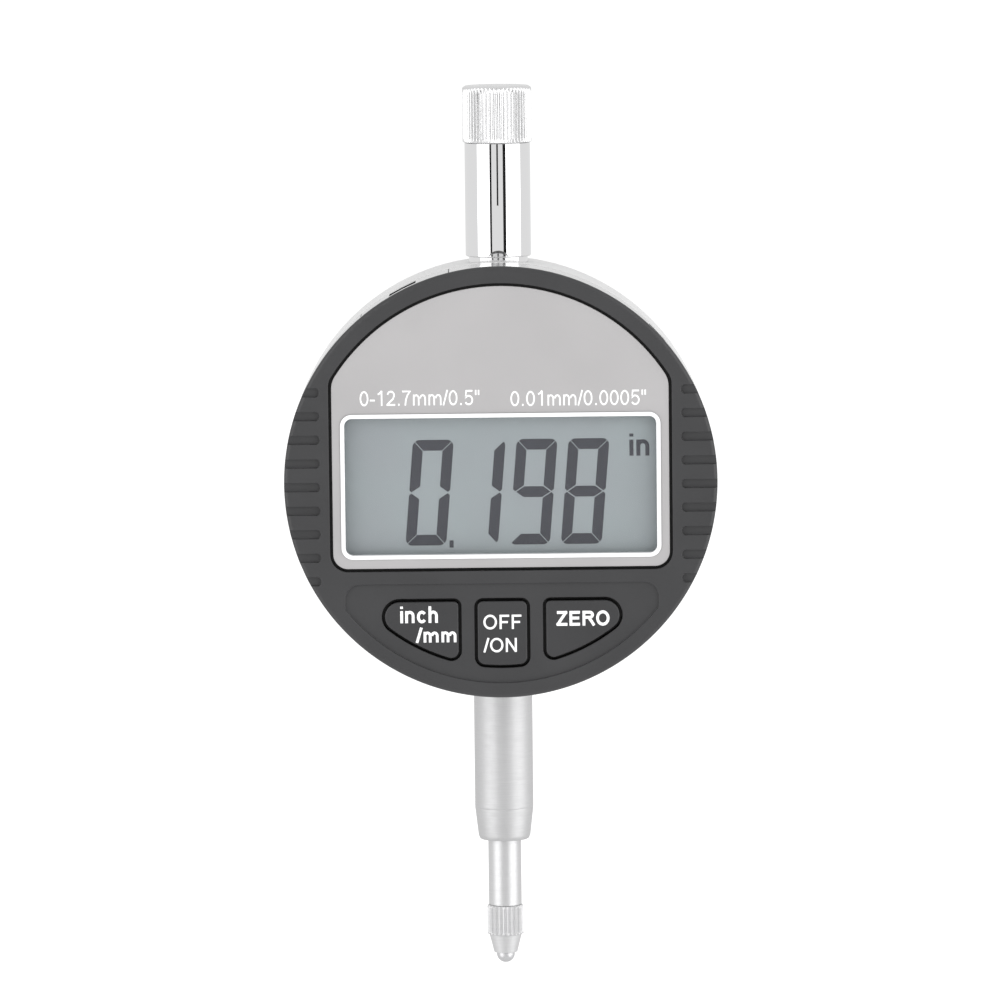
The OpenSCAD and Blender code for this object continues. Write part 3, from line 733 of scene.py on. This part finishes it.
def screw_graph():
    """A cross-head screw at each point, with its head towards the back of the case."""
    graph = Graph(
        "screws",
        {
            "Head Radius": "Float",
            "Head Height": "Float",
            "Neck Radius": "Float",
            "Shank Length": "Float",
            "Slot": "Float",
            "Material": "Material",
        },
    )
    given = graph.inputs
    head = graph.add(
        "GeometryNodeMeshCone",
        {
            "Vertices": 32,
            "Radius Top": given["Head Radius"],
            "Radius Bottom": given["Neck Radius"],
            "Depth": given["Head Height"],
        },
    ).outputs["Mesh"]
    reach = graph.math("MULTIPLY", given["Head Radius"], 1.25)
    tall = graph.math("MULTIPLY", given["Head Height"], 1.1)
    bars = [
        graph.add("GeometryNodeMeshCube", {"Size": graph.vector(a, b, tall)}).outputs[0]
        for a, b in ((reach, given["Slot"]), (given["Slot"], reach))
    ]
    up = graph.vector(0.0, 0.0, graph.math("MULTIPLY", given["Head Height"], 1.05))
    cutters = [
        graph.add("GeometryNodeTransform", {"Geometry": bar, "Translation": up}).outputs[0]
        for bar in bars
    ]
    cut = graph.add("GeometryNodeMeshBoolean", operation="DIFFERENCE", solver="EXACT")
    graph.tree.links.new(head, cut.inputs[0])
    for cutter in cutters:
        graph.tree.links.new(cutter, cut.inputs[1])
    core = graph.math("MULTIPLY", given["Neck Radius"], 0.9)
    shank = graph.add(
        "GeometryNodeMeshCylinder", {"Vertices": 24, "Radius": core, "Depth": given["Shank Length"]}
    ).outputs["Mesh"]
    down = graph.vector(0.0, 0.0, graph.math("MULTIPLY", given["Shank Length"], -0.5))
    shank = graph.add("GeometryNodeTransform", {"Geometry": shank, "Translation": down}).outputs[0]
    both = graph.add("GeometryNodeJoinGeometry")
    graph.tree.links.new(cut.outputs[0], both.inputs[0])
    graph.tree.links.new(shank, both.inputs[0])
    turned = graph.add(
        "GeometryNodeTransform", {"Geometry": both.outputs[0], "Rotation": (math.radians(-90), 0, 0)}
    ).outputs[0]
    placed = graph.add(
        "GeometryNodeInstanceOnPoints", {"Points": given["Geometry"], "Instance": turned}
    )
    graph.finish(placed.outputs[0])
    return graph


def screw_points(node, head_radius):
    """Screw places at the four corners of a node's box, as a mesh of loose points on the heads' backs."""
    low, high = box_of(node)
    mesh = bpy.data.meshes.new(node + "_points")
    places = [
        (x, high.y, z)
        for x in (low.x + head_radius, high.x - head_radius)
        for z in (low.z + head_radius, high.z - head_radius)
    ]
    mesh.from_pydata([Vector(p) * MM for p in places], [], [])
    return mesh


# ---- Display ----


SEGMENTS = {
    "0": "abcdef", "1": "bc", "2": "abged", "3": "abgcd", "4": "fgbc",
    "5": "afgcd", "6": "afgedc", "7": "abc", "8": "abcdefg", "9": "abcdfg",
}


def segment_outlines(width, height):
    """Outlines of the seven segments of an upright digit, by letter, from its lower left corner."""
    bar, post, gap, corner = 1.45, 1.42, 0.07, 0.85
    middle = height / 2
    nip = 0.3
    arc = [
        (corner * (1 - math.cos(a)), corner * (1 - math.sin(a)))
        for a in (math.radians(90 - 11.25 * i) for i in range(9))
    ]
    diagonal = 4
    top_left = [(x + gap, height - z) for x, z in reversed(arc[: diagonal + 1])]
    top = top_left + [(width - x, z) for x, z in reversed(top_left)]
    top += [(width - post - gap, height - bar), (post + gap, height - bar)]
    side = [(x, height - z - gap) for x, z in arc[diagonal:]]
    upper = side + [
        (0, middle + gap + nip),
        (nip, middle + gap),
        (post, middle + gap + bar * 0.55),
        (post, height - bar - gap),
    ]
    bridge = [
        (nip + 2 * gap, middle),
        (post + gap, middle + bar * 0.5),
        (width - post - gap, middle + bar * 0.5),
        (width - nip - 2 * gap, middle),
        (width - post - gap, middle - bar * 0.5),
        (post + gap, middle - bar * 0.5),
    ]

    def across(outline):
        return [(width - x, z) for x, z in reversed(outline)]

    def down(outline):
        return [(x, height - z) for x, z in reversed(outline)]

    return {
        "a": top, "b": across(upper), "c": down(across(upper)), "d": down(top),
        "e": down(upper), "f": upper, "g": bridge,
    }


def reading_maker(settings, left, base, front, back):
    """Fills a shape with the lit segments of the reading."""
    outlines = segment_outlines(settings.digit_w / MM, settings.digit_h / MM)
    lean = math.tan(settings.slant)
    pitch = settings.pitch / MM

    def maker(shape):
        x0 = left
        for sign in settings.reading:
            if sign == ".":
                point_w, point_h, drop = 0.55, 0.98, 0.32
                x = x0 - pitch + settings.digit_w / MM + 0.45
                right, foot, top = x + point_w, base - drop, base + (point_h - drop)
                slab(shape, [(x, foot), (right, foot), (right, top), (x, top)], front, back)
                continue
            for letter in SEGMENTS[sign]:
                leaning = [(x0 + x + z * lean, base + z) for x, z in outlines[letter]]
                slab(shape, leaning, front, back)
            x0 += pitch

    return maker


LEGENDS = {
    # name: (words, node it is printed on, left, right, foot, top, stroke), about the dial centre
    "range_legend": ('0-12.7mm/0.5"', "face_plate", -18.82, -2.75, 10.48, 12.65, 84),
    "step_legend": ('0.01mm/0.0005"', "face_plate", 1.41, 19.61, 10.28, 12.45, 84),
    "unit_legend": ("inch", "unit_button", -13.73, -8.67, -18.88, -16.59, 125),
    "unit_legend_second": ("/mm", "unit_button", -11.7, -6.2, -21.58, -19.42, 125),
    "power_legend": ("OFF", "power_button", -2.55, 2.57, -19.82, -17.81, 105),
    "power_legend_second": ("/ON", "power_button", -2.59, 1.92, -22.97, -20.93, 105),
    "zero_legend": ("ZERO", "zero_button", 7.23, 14.44, -19.53, -17.38, 140),
    "inch_mark": ("in", "lcd_panel", 17.36, 20.05, 3.26, 6.27, 130),
}


def bow(cx, cz, rx, rz, start, end, steps=14):
    """Points along an ellipse, from one angle to another in degrees."""
    angles = (math.radians(start + (end - start) * i / steps) for i in range(steps + 1))
    return [(cx + rx * math.cos(a), cz + rz * math.sin(a)) for a in angles]


def letter_strokes(weight):
    """Middle lines of the letters' strokes and the letters' widths, in thousandths of an em."""
    w = weight / 2
    top, low, mid = 716 - w, w, 530 - w
    stem = 66 + w
    arch = bow(276, mid - 160, 211 - w, 160, 180, 0)
    arches = [bow(x, mid - 150, 154 - w / 2, 150, 180, 0) for x in (219 + w / 2, 610 - w / 2)]
    feet = [line + [(line[-1][0], 0)] for line in arches]
    return {
        "0": ([bow(276, 348, 234 - w, 360 - w, 0, 360, 40)], 556),
        "O": ([bow(389, 358, 341 - w, 370 - w, 0, 360, 44)], 778),
        "1": ([[(373 - w, 0), (373 - w, 716)], [(125, 560 - w / 2), (250, 610), (373 - w, 716)]], 556),
        "2": (
            [
                bow(270, 500, 218 - w, 216 - w, 170, -35) + [(390, 330), (200, 170), (75, low)],
                [(32, low), (503, low)],
            ],
            556,
        ),
        "5": ([[(485, top), (150, top), (100, 345)] + bow(275, 235, 238 - w, 247 - w, 140, -150, 22)], 556),
        "7": ([[(47, top), (465, top), (330, 500), (245, 280), (205, 0)]], 556),
        ".": ([[(140, 0), (140, weight * 1.15)]], 278),
        "-": ([[(31, 260), (301, 260)]], 333),
        "/": ([[(30, -12), (248, 728)]], 278),
        '"': ([[(x, 470), (x, 716)] for x in (100, 255)], 355),
        "i": ([[(stem, 0), (stem, 519)], [(stem, 616), (stem, 716)]], 222),
        "n": ([[(stem, 0), (stem, 519)], arch + [(arch[-1][0], 0)]], 556),
        "h": ([[(stem, 0), (stem, 716)], arch + [(arch[-1][0], 0)]], 556),
        "m": ([[(stem, 0), (stem, 519)]] + feet, 833),
        "c": ([bow(264, 259, 222 - w, 271 - w, 38, 322, 26)], 500),
        "F": ([[(82 + w, 0), (82 + w, 716)], [(82, top), (567, top)], [(82, 350), (500, 350)]], 611),
        "E": (
            [
                [(79 + w, 0), (79 + w, 716)],
                [(79, top), (612, top)],
                [(79, 370), (575, 370)],
                [(79, low), (616, low)],
            ],
            667,
        ),
        "N": (
            [
                [(76 + w, 0), (76 + w, 716)],
                [(80 + w, 690), (637 - w, 26)],
                [(641 - w, 0), (641 - w, 716)],
            ],
            722,
        ),
        "R": (
            [
                [(78 + w, 0), (78 + w, 716)],
                [(78, top), (430, top)] + bow(440, 522, 218 - w, 194 - w, 90, -90) + [(78, 328 + w)],
                [(390, 328 + w), (520, 230), (665, 0)],
            ],
            722,
        ),
        "Z": ([[(55, top), (575, top)], [(540, 690), (60, 30)], [(30, low), (583, low)]], 611),
    }


def ribbon(shape, line, width, lift):
    """A flat strip of even width along a line of points."""
    points = [Vector(p) for p in line]
    sides = []
    for i, point in enumerate(points):
        ways = []
        if i:
            ways.append((point - points[i - 1]).normalized())
        if i < len(points) - 1:
            ways.append((points[i + 1] - point).normalized())
        way = sum(ways, Vector((0, 0))).normalized()
        across = Vector((-way.y, way.x)) * width / 2 / max(way.dot(ways[0]), 0.6)
        sides.append([shape.verts.new((*(point + across * s), lift)) for s in (1, -1)])
    for (a, b), (c, d) in zip(sides, sides[1:]):
        shape.faces.new((a, b, d, c))


def lettering(name, words, left, right, foot, top, front, weight):
    """Words as flat strokes that fill the given box; each stroke of a letter lies a hair before the one
    before it.
    """
    strokes = letter_strokes(weight)
    shape = bmesh.new()
    pen = 0.0
    for letter in words:
        lines, advance = strokes[letter]
        for k, line in enumerate(lines):
            ribbon(shape, [(x + pen, z) for x, z in line], weight, k)
        pen += advance
    xs = [v.co.x for v in shape.verts]
    zs = [v.co.y for v in shape.verts]
    wide = (right - left) / (max(xs) - min(xs))
    tall = (top - foot) / (max(zs) - min(zs))
    for v in shape.verts:
        x = left + (v.co.x - min(xs)) * wide
        z = foot + (v.co.y - min(zs)) * tall
        v.co = Vector((x, FACE + front - 0.002 * v.co.z, DIAL + z)) * MM
    mesh = bpy.data.meshes.new(name)
    shape.to_mesh(mesh)
    shape.free()
    return mesh


def legend_piece(name, body, ink):
    words, node, *box, weight = LEGENDS[name]
    mesh = lettering(name, words, *box, front_depth(node) - PRINT, weight)
    return add_piece(name, mesh, body, ink, (), node)


# ---- Operators: one for each piece or group of like pieces ----


class PieceOperator(Operator):
    """Base of the operators that add pieces."""

    bl_options = {"REGISTER", "UNDO"}


class DIAL_OT_bezel(PieceOperator):
    """Adds the moulded bezel with its grip grooves and button panel"""

    bl_idname = "dial.bezel"
    bl_label = "Bezel"

    def execute(self, context):
        shell = context.scene.dial_shell
        # The bezel's finish blackens its gaps and grooves as painted shade.
        finish = moulded_plastic("bezel_plastic", shell.bezel, gap_shading=True)
        limits = {"reach": BEZEL_R - RIM, "depth": 0.6}
        eased_piece("bezel", "front_bezel", "case", finish, shell.edge / MM, 3, **limits)
        return {"FINISHED"}


class DIAL_OT_buttons(PieceOperator):
    """Adds the three push buttons and their legends"""

    bl_idname = "dial.buttons"
    bl_label = "Buttons"

    def execute(self, context):
        shell = context.scene.dial_shell
        ink = printing_ink("button_ink", context.scene.dial_display.legend)
        for node in ("unit_button", "power_button", "zero_button"):
            # Each button's finish blackens the gap round it as painted shade.
            finish = moulded_plastic(node + "_plastic", shell.button, 0.4, gap_shading=True)
            eased_piece(node + "_cap", node, node, finish, shell.cap_edge / MM, 4, depth=1)
        for name, legend in LEGENDS.items():
            if legend[1].endswith("_button"):
                legend_piece(name, legend[1], ink)
        return {"FINISHED"}


class DIAL_OT_face(PieceOperator):
    """Adds the face plate with its legends, and the bead round the window"""

    bl_idname = "dial.face"
    bl_label = "Face plate"

    def execute(self, context):
        display = context.scene.dial_display
        plate = printed_plate("plate_film", display.plate)
        eased_piece("plate", "face_plate", "case", plate, 0.05, 2)
        bead = bright_bead("bead_lacquer", (0.9, 0.9, 0.91))
        eased_piece("bead", "window_frame", "case", bead, 0.1, 3)
        ink = printing_ink("plate_ink", display.legend)
        for name in ("range_legend", "step_legend"):
            legend_piece(name, "case", ink)
        return {"FINISHED"}


class DIAL_OT_display(PieceOperator):
    """Adds the display glass, the digits and the window"""

    bl_idname = "dial.display"
    bl_label = "Display"

    def execute(self, context):
        display = context.scene.dial_display
        glass = display_glass("display_film", display.glass)
        eased_piece("display", "lcd_panel", "case", glass, 0.05, 1)
        front = front_depth("lcd_panel")
        left, base = -12.95, -8.6
        proud, sunk = 0.02, 0.05
        ink = printing_ink("segment_ink", display.ink, 0.4)
        maker = reading_maker(display, left, base, front - proud, front + sunk)
        add_piece("reading", to_mesh("reading", maker), "case", ink, (), "lcd_panel")
        legend_piece("inch_mark", "case", ink)
        window = clear_window("window_clear")
        eased_piece("window", "window_lens", "case", window, 0.05, 1)
        return {"FINISHED"}


class DIAL_OT_case(PieceOperator):
    """Adds the ring, the rear case, the back cover with its lug, the drawer and the port plug"""

    bl_idname = "dial.case"
    bl_label = "Case"

    def execute(self, context):
        shell = context.scene.dial_shell
        chrome = context.scene.dial_metal.chrome
        ring = satin_metal("ring_satin", darker(chrome, 0.95), 0.22)
        door = satin_metal("door_satin", darker(chrome, 0.95), 0.22)
        rear = moulded_plastic("rear_plastic", shell.case, 0.36, flow=0.96)
        cover = moulded_plastic("cover_plastic", shell.case, 0.36, flow=0.96)
        tray = moulded_plastic("tray_plastic", (0.012, 0.012, 0.012))
        plug = soft_rubber("plug_rubber", (0.015, 0.015, 0.016))
        eased_piece("ring", "case_ring", "case", ring, 0.08, 2)
        eased_piece("door", "drawer_door", "battery_drawer", door, 0.08, 2)
        eased_piece("rear", "rear_case", "case", rear, 0.08, 2)
        eased_piece("cover", "back_cover", "case", cover, 0.15, 3)
        eased_piece("tray", "battery_drawer", "battery_drawer", tray, 0.08, 2)
        eased_piece("plug", "port_cover", "port_cover", plug, 0.08, 2)
        # The black sheets in the drawer's notch are painted shade, given a rubber finish.
        black = soft_rubber("notch_painted_shade_black", (0.006, 0.006, 0.006))
        mesh = to_mesh("notch_painted_shade", self.painted_shade)
        add_piece("notch_painted_shade", mesh, "battery_drawer", black, (), "drawer_door")
        return {"FINISHED"}

    def painted_shade(self, shape):
        """Painted shade: black sheets on the floor and the back wall of the drawer's finger notch, which
        darken the notch as if it lay in shadow.
        """
        angle = math.radians(116.75)
        half, floor, front, back = 1.97, 27.42, 4.43, 8.88
        floor_t, wall_t, inset = 0.13, 0.18, 0.12
        out = Vector((math.cos(angle), math.sin(angle)))
        across = Vector((-out.y, out.x)) * half
        sheets = (
            (floor + floor_t, front, back - wall_t),
            (RING_R - inset, back - wall_t, back),
        )
        for top, near, far in sheets:
            outline = [out * floor - across, out * top - across, out * top + across, out * floor + across]
            slab(shape, outline, near, far)


class DIAL_OT_screws(PieceOperator):
    """Adds the case screws and the board screws"""

    bl_idname = "dial.screws"
    bl_label = "Screws"

    def execute(self, context):
        graph = screw_graph()
        kinds = {
            # node: (head radius, head height, neck radius, shank length, width of the cross's slots)
            "back_screws": (1.85, 1.0, 0.85, 5.9, 0.4),
            "front_screws": (1.5, 1.0, 0.85, 7.2, 0.4),
            "board_screws": (1.1, 0.7, 0.6, 2.9, 0.3),
        }
        for node, (head, height, neck, shank, slot) in kinds.items():
            finish = turned_steel(node + "_zinc", (0.62, 0.62, 0.65), 0.3)
            points = screw_points(node, head)
            for v in points.vertices:
                v.co.y -= height * MM
            values = {
                "Head Radius": head * MM,
                "Head Height": height * MM,
                "Neck Radius": neck * MM,
                "Shank Length": shank * MM,
                "Slot": slot * MM,
                "Material": finish,
            }
            mesh = graph.run(points, node + "_set", values)
            add_piece(node + "_set", mesh, "case", finish, [node])
        return {"FINISHED"}


class DIAL_OT_tube(PieceOperator):
    """Adds the polished tube with its thread, and the knurled dust cap"""

    bl_idname = "dial.tube"
    bl_label = "Tube and dust cap"

    def execute(self, context):
        metal = context.scene.dial_metal
        low, high = box_of("upper_tube")
        tube_r = half_width("upper_tube")
        cap_low, cap_high = box_of("dust_cap")
        cap_r = half_width("dust_cap")
        sleeve_top = cap_low.z - 0.05
        sleeve_foot = DIAL + 29.6
        bore_r, neck_r, thread_r = 3.4, 4.0, 3.9
        climb = straight_wall(thread_r, sleeve_top + 0.02, high.z - 0.32 - sleeve_top, 120)
        profile = [(bore_r, low.z), (neck_r, low.z), (neck_r, sleeve_foot), (tube_r - 0.12, sleeve_foot)]
        profile += [(tube_r, sleeve_foot + 0.12), (tube_r, sleeve_top), (thread_r + 0.05, sleeve_top)]
        outside = rounded(profile, 0.06)
        mesh = turned_mesh(
            "tube_blank", outside + climb + [(thread_r - 0.3, high.z), (bore_r, high.z)], 192, True
        )
        chrome = plated_chrome("tube_chrome", metal.chrome)
        thread = (sleeve_top + 0.2, high.z)
        per_metre = 1 / metal.thread_pitch
        tube = grooved(mesh, "tube", chrome, 1, 0.25, thread, 0.3, bore_r + 0.1, per_metre)
        add_piece("tube", tube, "case", chrome, ["upper_tube"])

        inner_r, inner_top = 3.93, cap_high.z - 1.2
        knurl_foot, knurl_top = cap_low.z + 0.12, cap_high.z - 0.42
        side = straight_wall(cap_r, knurl_foot, knurl_top - knurl_foot, 24)
        profile = [(inner_r, cap_low.z), (cap_r - 0.22, cap_low.z), (cap_r - 0.1, cap_low.z + 0.03)]
        profile += side + [(cap_r - 0.1, cap_high.z - 0.22), (cap_r - 0.4, cap_high.z - 0.02)]
        profile += [(cap_r - 0.55, cap_high.z), (2.0, cap_high.z), (0, cap_high.z)]
        profile = [(0, inner_top), (inner_r, inner_top)] + profile
        mesh = turned_mesh("cap_blank", profile, metal.cap_teeth * 8)
        knurled = plated_chrome("cap_chrome", darker(metal.chrome, 0.93), 0.24)
        teeth, depth = metal.cap_teeth, metal.cap_depth / MM
        span = (knurl_foot - 0.05, knurl_top + 0.05)
        cap = grooved(mesh, "cap", knurled, teeth, depth, span, 0.18, cap_r - 0.05)
        add_piece("cap", cap, "dust_cap", knurled, ["dust_cap"])
        return {"FINISHED"}


class DIAL_OT_stem(PieceOperator):
    """Adds the clamping stem"""

    bl_idname = "dial.stem"
    bl_label = "Stem"

    def execute(self, context):
        low, high = box_of("stem")
        taper = DIAL - 46.1
        bore_r, mouth_r, mouth_top, collar = 3.0, 2.8, DIAL - 45.2, DIAL - 29.1
        collar_r = half_width("stem")
        stem_r = frame["record"]["mounts"][0]["dims"]["r_mm"]
        profile = [(mouth_r, low.z), (stem_r - 0.65, low.z), (stem_r - 0.45, low.z + 0.5)]
        profile += [(stem_r, taper), (stem_r - 0.05, taper + 0.06), (stem_r, taper + 0.12)]
        profile += [(stem_r, collar), (collar_r, collar), (collar_r, high.z)]
        profile += [(bore_r, high.z), (bore_r, mouth_top), (mouth_r, mouth_top - 0.8)]
        finish = turned_steel("stem_steel", darker(context.scene.dial_metal.steel, 0.98), 0.54)
        mesh = turned_mesh("stem_tube", rounded(profile, 0.12), 192, True)
        add_piece("stem_tube", mesh, "case", finish, ["stem"])
        return {"FINISHED"}


class DIAL_OT_spindle(PieceOperator):
    """Adds the spindle, the knurled contact point, its ball and the lift head"""

    bl_idname = "dial.spindle"
    bl_label = "Spindle and contact point"

    def execute(self, context):
        metal = context.scene.dial_metal
        low, high = box_of("spindle")
        rod_r = half_width("spindle")
        rod = [(0, low.z), (rod_r, low.z), (rod_r, high.z), (0, high.z)]
        finish = turned_steel("spindle_steel", darker(metal.steel, 1.06), 0.45)
        mesh = turned_mesh("spindle_rod", rounded(rod, 0.1), 128)
        add_piece("spindle_rod", mesh, "spindle", finish, ["spindle"])

        tip_foot = box_of("contact_point")[0].z
        tip_r = half_width("contact_point")
        shoulder = low.z - 0.02
        cone_r, cone_top = 1.6, tip_foot + 2.7
        side = straight_wall(tip_r, cone_top - 0.05, shoulder - 0.25 - cone_top, 30)
        profile = [(0, tip_foot), (cone_r - 0.1, tip_foot), (cone_r, tip_foot + 0.06)]
        profile += [(tip_r - 0.28, cone_top - 0.2), (tip_r - 0.03, cone_top - 0.07)] + side
        profile += [(tip_r - 0.15, shoulder - 0.03), (tip_r - 0.3, shoulder), (0, shoulder)]
        mesh = turned_mesh("tip_blank", profile, metal.tip_teeth * 10)
        knurled = turned_steel("tip_steel", darker(metal.steel, 1.1), 0.54)
        teeth, depth = metal.tip_teeth, metal.tip_depth / MM
        span = (cone_top - 0.05, shoulder)
        tip = grooved(mesh, "tip", knurled, teeth, depth, span, 0.25, tip_r - 0.05)
        add_piece("tip", tip, "spindle", knurled, ["contact_point"])

        ball_low, ball_high = box_of("contact_ball")
        ball_r = half_width("contact_ball")
        centre = (ball_low.z + ball_high.z) / 2
        rows = 32
        angles = [math.pi * i / rows for i in range(rows + 1)]
        arc = [(ball_r * math.sin(a), centre - ball_r * math.cos(a)) for a in angles]
        arc[0], arc[-1] = (0, ball_low.z), (0, ball_high.z)
        lapped = turned_steel("ball_steel", (0.72, 0.72, 0.73), 0.42)
        add_piece("ball", turned_mesh("ball", arc, 64), "spindle", lapped, ["contact_ball"])

        head_r = half_width("lift_head")
        foot, top, slope = high.z + 0.02, box_of("lift_head")[1].z, 0.4
        head = [(0, foot), (head_r, foot), (head_r, top - slope), (head_r - slope, top), (0, top)]
        steel = turned_steel("lift_steel", metal.steel, 0.25)
        add_piece("lift", turned_mesh("lift", rounded(head, 0.1), 96), "spindle", steel, ["lift_head"])
        return {"FINISHED"}


class DIAL_OT_works(PieceOperator):
    """Adds the return spring and the button cell, and finishes the pieces inside the case"""

    bl_idname = "dial.works"
    bl_label = "Works"

    def execute(self, context):
        metal = context.scene.dial_metal
        low, high = box_of("return_spring")
        wire_r = 0.25
        coil_r = half_width("return_spring") - wire_r
        finish = turned_steel("spring_wire", (0.55, 0.55, 0.57), 0.28)
        values = {
            "Turns": float(metal.spring_turns),
            "Radius": coil_r * MM,
            "Wire Radius": wire_r * MM,
            "Foot": (low.z + wire_r) * MM,
            "Length": (high.z - low.z - 2 * wire_r) * MM,
            "Material": finish,
        }
        mesh = coil_graph().run(bpy.data.meshes.new("coil_blank"), "spring", values)
        add_piece("spring", mesh, "case", finish, ["return_spring"])

        low, high = box_of("battery_cell")
        middle = (low + high) / 2
        cell_r = half_width("battery_cell")
        half = (high.y - low.y) / 2
        rim = [(0, -half), (cell_r - 0.5, -half), (cell_r, -half + 0.5), (cell_r, half - 0.9)]
        rim += [(cell_r - 0.35, half - 0.55), (cell_r - 0.9, half - 0.5), (cell_r - 1.1, half - 0.2)]
        rim += [(cell_r - 1.4, half), (0, half)]
        mesh = turned_mesh("cell", rounded(rim, 0.15), 128)
        mesh.transform(Matrix.Translation(middle * MM) @ Matrix.Rotation(math.radians(90), 4, "X"))
        can = satin_metal("cell_can", (0.75, 0.75, 0.77), 0.2)
        add_piece("cell", mesh, "battery_drawer", can, ["battery_cell"])

        for node, (finish, *details) in FRAME_FINISHES.items():
            NODES[node].data.materials.clear()
            NODES[node].data.materials.append(finish(*details))
        return {"FINISHED"}


SIDE_LIGHTS = ((-1, 27.5, 76), (1, 25, 87))  # side, inner and outer edge in degrees from the front
DARK_CARDS = ((-24.7, 7.0, -1.0), (23.8, 10.5, -1.0), (-0.6, 5.5, 0.014))  # as dark_card takes them


class DIAL_OT_stage(PieceOperator):
    """Adds the floor, the lights and the camera"""

    bl_idname = "dial.stage"
    bl_label = "Stage"

    def execute(self, context):
        stage = context.scene.dial_stage
        context.scene.view_settings.view_transform = "Standard"
        self.sky(context, stage)
        self.floor()
        self.lights(stage)
        self.camera(context, stage)
        return {"FINISHED"}

    def sky(self, context, stage):
        """Even surroundings, white behind the object."""
        world = bpy.data.worlds.new("studio")
        context.scene.world = world
        world.use_nodes = True
        tree = world.node_tree
        backdrop = 1.05
        glow = tree.nodes["Background"]
        glow.inputs["Color"].default_value = (1, 1, 1, 1)
        ray = tree.nodes.new("ShaderNodeLightPath").outputs["Is Camera Ray"]
        level = tree.nodes.new("ShaderNodeMapRange")
        level.inputs["To Min"].default_value = stage.sky
        level.inputs["To Max"].default_value = backdrop
        tree.links.new(ray, level.inputs["Value"])
        tree.links.new(level.outputs["Result"], glow.inputs["Strength"])

    def floor(self):
        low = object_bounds()[0]
        mesh = bpy.data.meshes.new("floor")
        half, height = 4.0, low.z - 0.25
        mesh.from_pydata(
            [(-half, -half, height), (half, -half, height), (half, half, height), (-half, half, height)],
            [],
            [(0, 1, 2, 3)],
        )
        floor = linked("floor", mesh)
        floor.visible_glossy = False
        paper = Finish("floor_paper", (0.85, 0.85, 0.85), 0.9)
        paper.bump(paper.noise((0.05, 0.05, 0.05), 3), 0.2, 0.1)
        paper.shader.inputs["Emission Color"].default_value = (1, 1, 1, 1)
        paper.shader.inputs["Emission Strength"].default_value = 0.5
        mesh.materials.append(paper.material)
        floor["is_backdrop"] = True

    def lights(self, stage):
        """A tall soft light on each side, with a dark card at its inner edge, and a card in the middle."""
        reach, tall = 1.5, 2.4
        for side, inner, outer in SIDE_LIGHTS:
            half_angle = math.radians((outer - inner) / 2)
            azimuth = math.radians((outer + inner) / 2)
            lamp = bpy.data.lights.new("side_light", "AREA")
            lamp.shape = "RECTANGLE"
            lamp.size = 2 * reach * math.tan(half_angle)
            lamp.size_y = tall
            lamp.energy = math.pi * lamp.size * lamp.size_y * stage.box
            light = linked("side_light", lamp)
            light.location = (side * reach * math.sin(azimuth), -reach * math.cos(azimuth), DIAL * MM)
            light.rotation_euler = (math.radians(90), 0, side * azimuth)
            light.visible_camera = False
        for card in DARK_CARDS:
            self.dark_card(*card)

    def dark_card(self, azimuth, width, low):
        """An upright black strip behind the camera: direction and width in degrees, foot in metres."""
        reach, high = 1.25, 1.0
        turn = math.radians(azimuth)
        half = reach * math.radians(width) / 2
        out = Vector((math.sin(turn), -math.cos(turn), 0)) * reach
        across = Vector((math.cos(turn), math.sin(turn), 0)) * half
        ends = [out - across, out + across]
        mesh = bpy.data.meshes.new("dark_card")
        mesh.from_pydata(
            [end + Vector((0, 0, z)) for z in (low, high) for end in ends], [], [(0, 1, 3, 2)]
        )
        card = linked("dark_card", mesh)
        mesh.materials.append(printing_ink("card_black", (0.002, 0.002, 0.002), 0.9))
        card.visible_camera = False
        card.visible_diffuse = False
        card.visible_shadow = False
        card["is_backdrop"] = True

    def camera(self, context, stage):
        data = bpy.data.cameras.new("camera")
        data.lens = stage.focal
        data.sensor_width = 36
        data.clip_start = 0.01
        camera = linked("camera", data)
        centre = Vector((0, FACE, DIAL)) * MM
        way = Vector((0, -math.cos(stage.elevation), math.sin(stage.elevation)))
        dip = math.radians(0.153)
        data.shift_x = -0.0005
        pitch = math.radians(90) - stage.elevation - dip
        camera.matrix_world = (
            Matrix.Translation(centre + way * stage.distance)
            @ Matrix.Rotation(pitch, 4, "X")
            @ Matrix.Rotation(stage.roll, 4, "Z")
        )
        context.scene.camera = camera


OPERATORS = (
    DIAL_OT_bezel, DIAL_OT_buttons, DIAL_OT_face, DIAL_OT_display, DIAL_OT_case, DIAL_OT_screws,
    DIAL_OT_tube, DIAL_OT_stem, DIAL_OT_spindle, DIAL_OT_works, DIAL_OT_stage,
)
SETTINGS = {
    "dial_shell": ShellSettings,
    "dial_display": DisplaySettings,
    "dial_metal": MetalSettings,
    "dial_stage": StageSettings,
}


class DIAL_PT_panel(Panel):
    """Lists the settings and the operators"""

    bl_idname = "DIAL_PT_panel"
    bl_label = "Dial indicator"
    bl_space_type = "VIEW_3D"
    bl_region_type = "UI"
    bl_category = "Dial indicator"

    def draw(self, context):
        for key, group in SETTINGS.items():
            column = self.layout.column()
            for name in group.__annotations__:
                column.prop(getattr(context.scene, key), name)
        for operator in OPERATORS:
            self.layout.operator(operator.bl_idname)


def register():
    for group in SETTINGS.values():
        bpy.utils.register_class(group)
    for key, group in SETTINGS.items():
        setattr(bpy.types.Scene, key, PointerProperty(type=group))
    for operator in OPERATORS:
        bpy.utils.register_class(operator)
    bpy.utils.register_class(DIAL_PT_panel)


def unregister():
    bpy.utils.unregister_class(DIAL_PT_panel)
    for operator in reversed(OPERATORS):
        bpy.utils.unregister_class(operator)
    for key, group in SETTINGS.items():
        delattr(bpy.types.Scene, key)
        bpy.utils.unregister_class(group)


def main():
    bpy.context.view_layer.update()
    register()
    for operator in OPERATORS:
        group, name = operator.bl_idname.split(".")
        getattr(getattr(bpy.ops, group), name)()


if __name__ == "__main__":
    main()
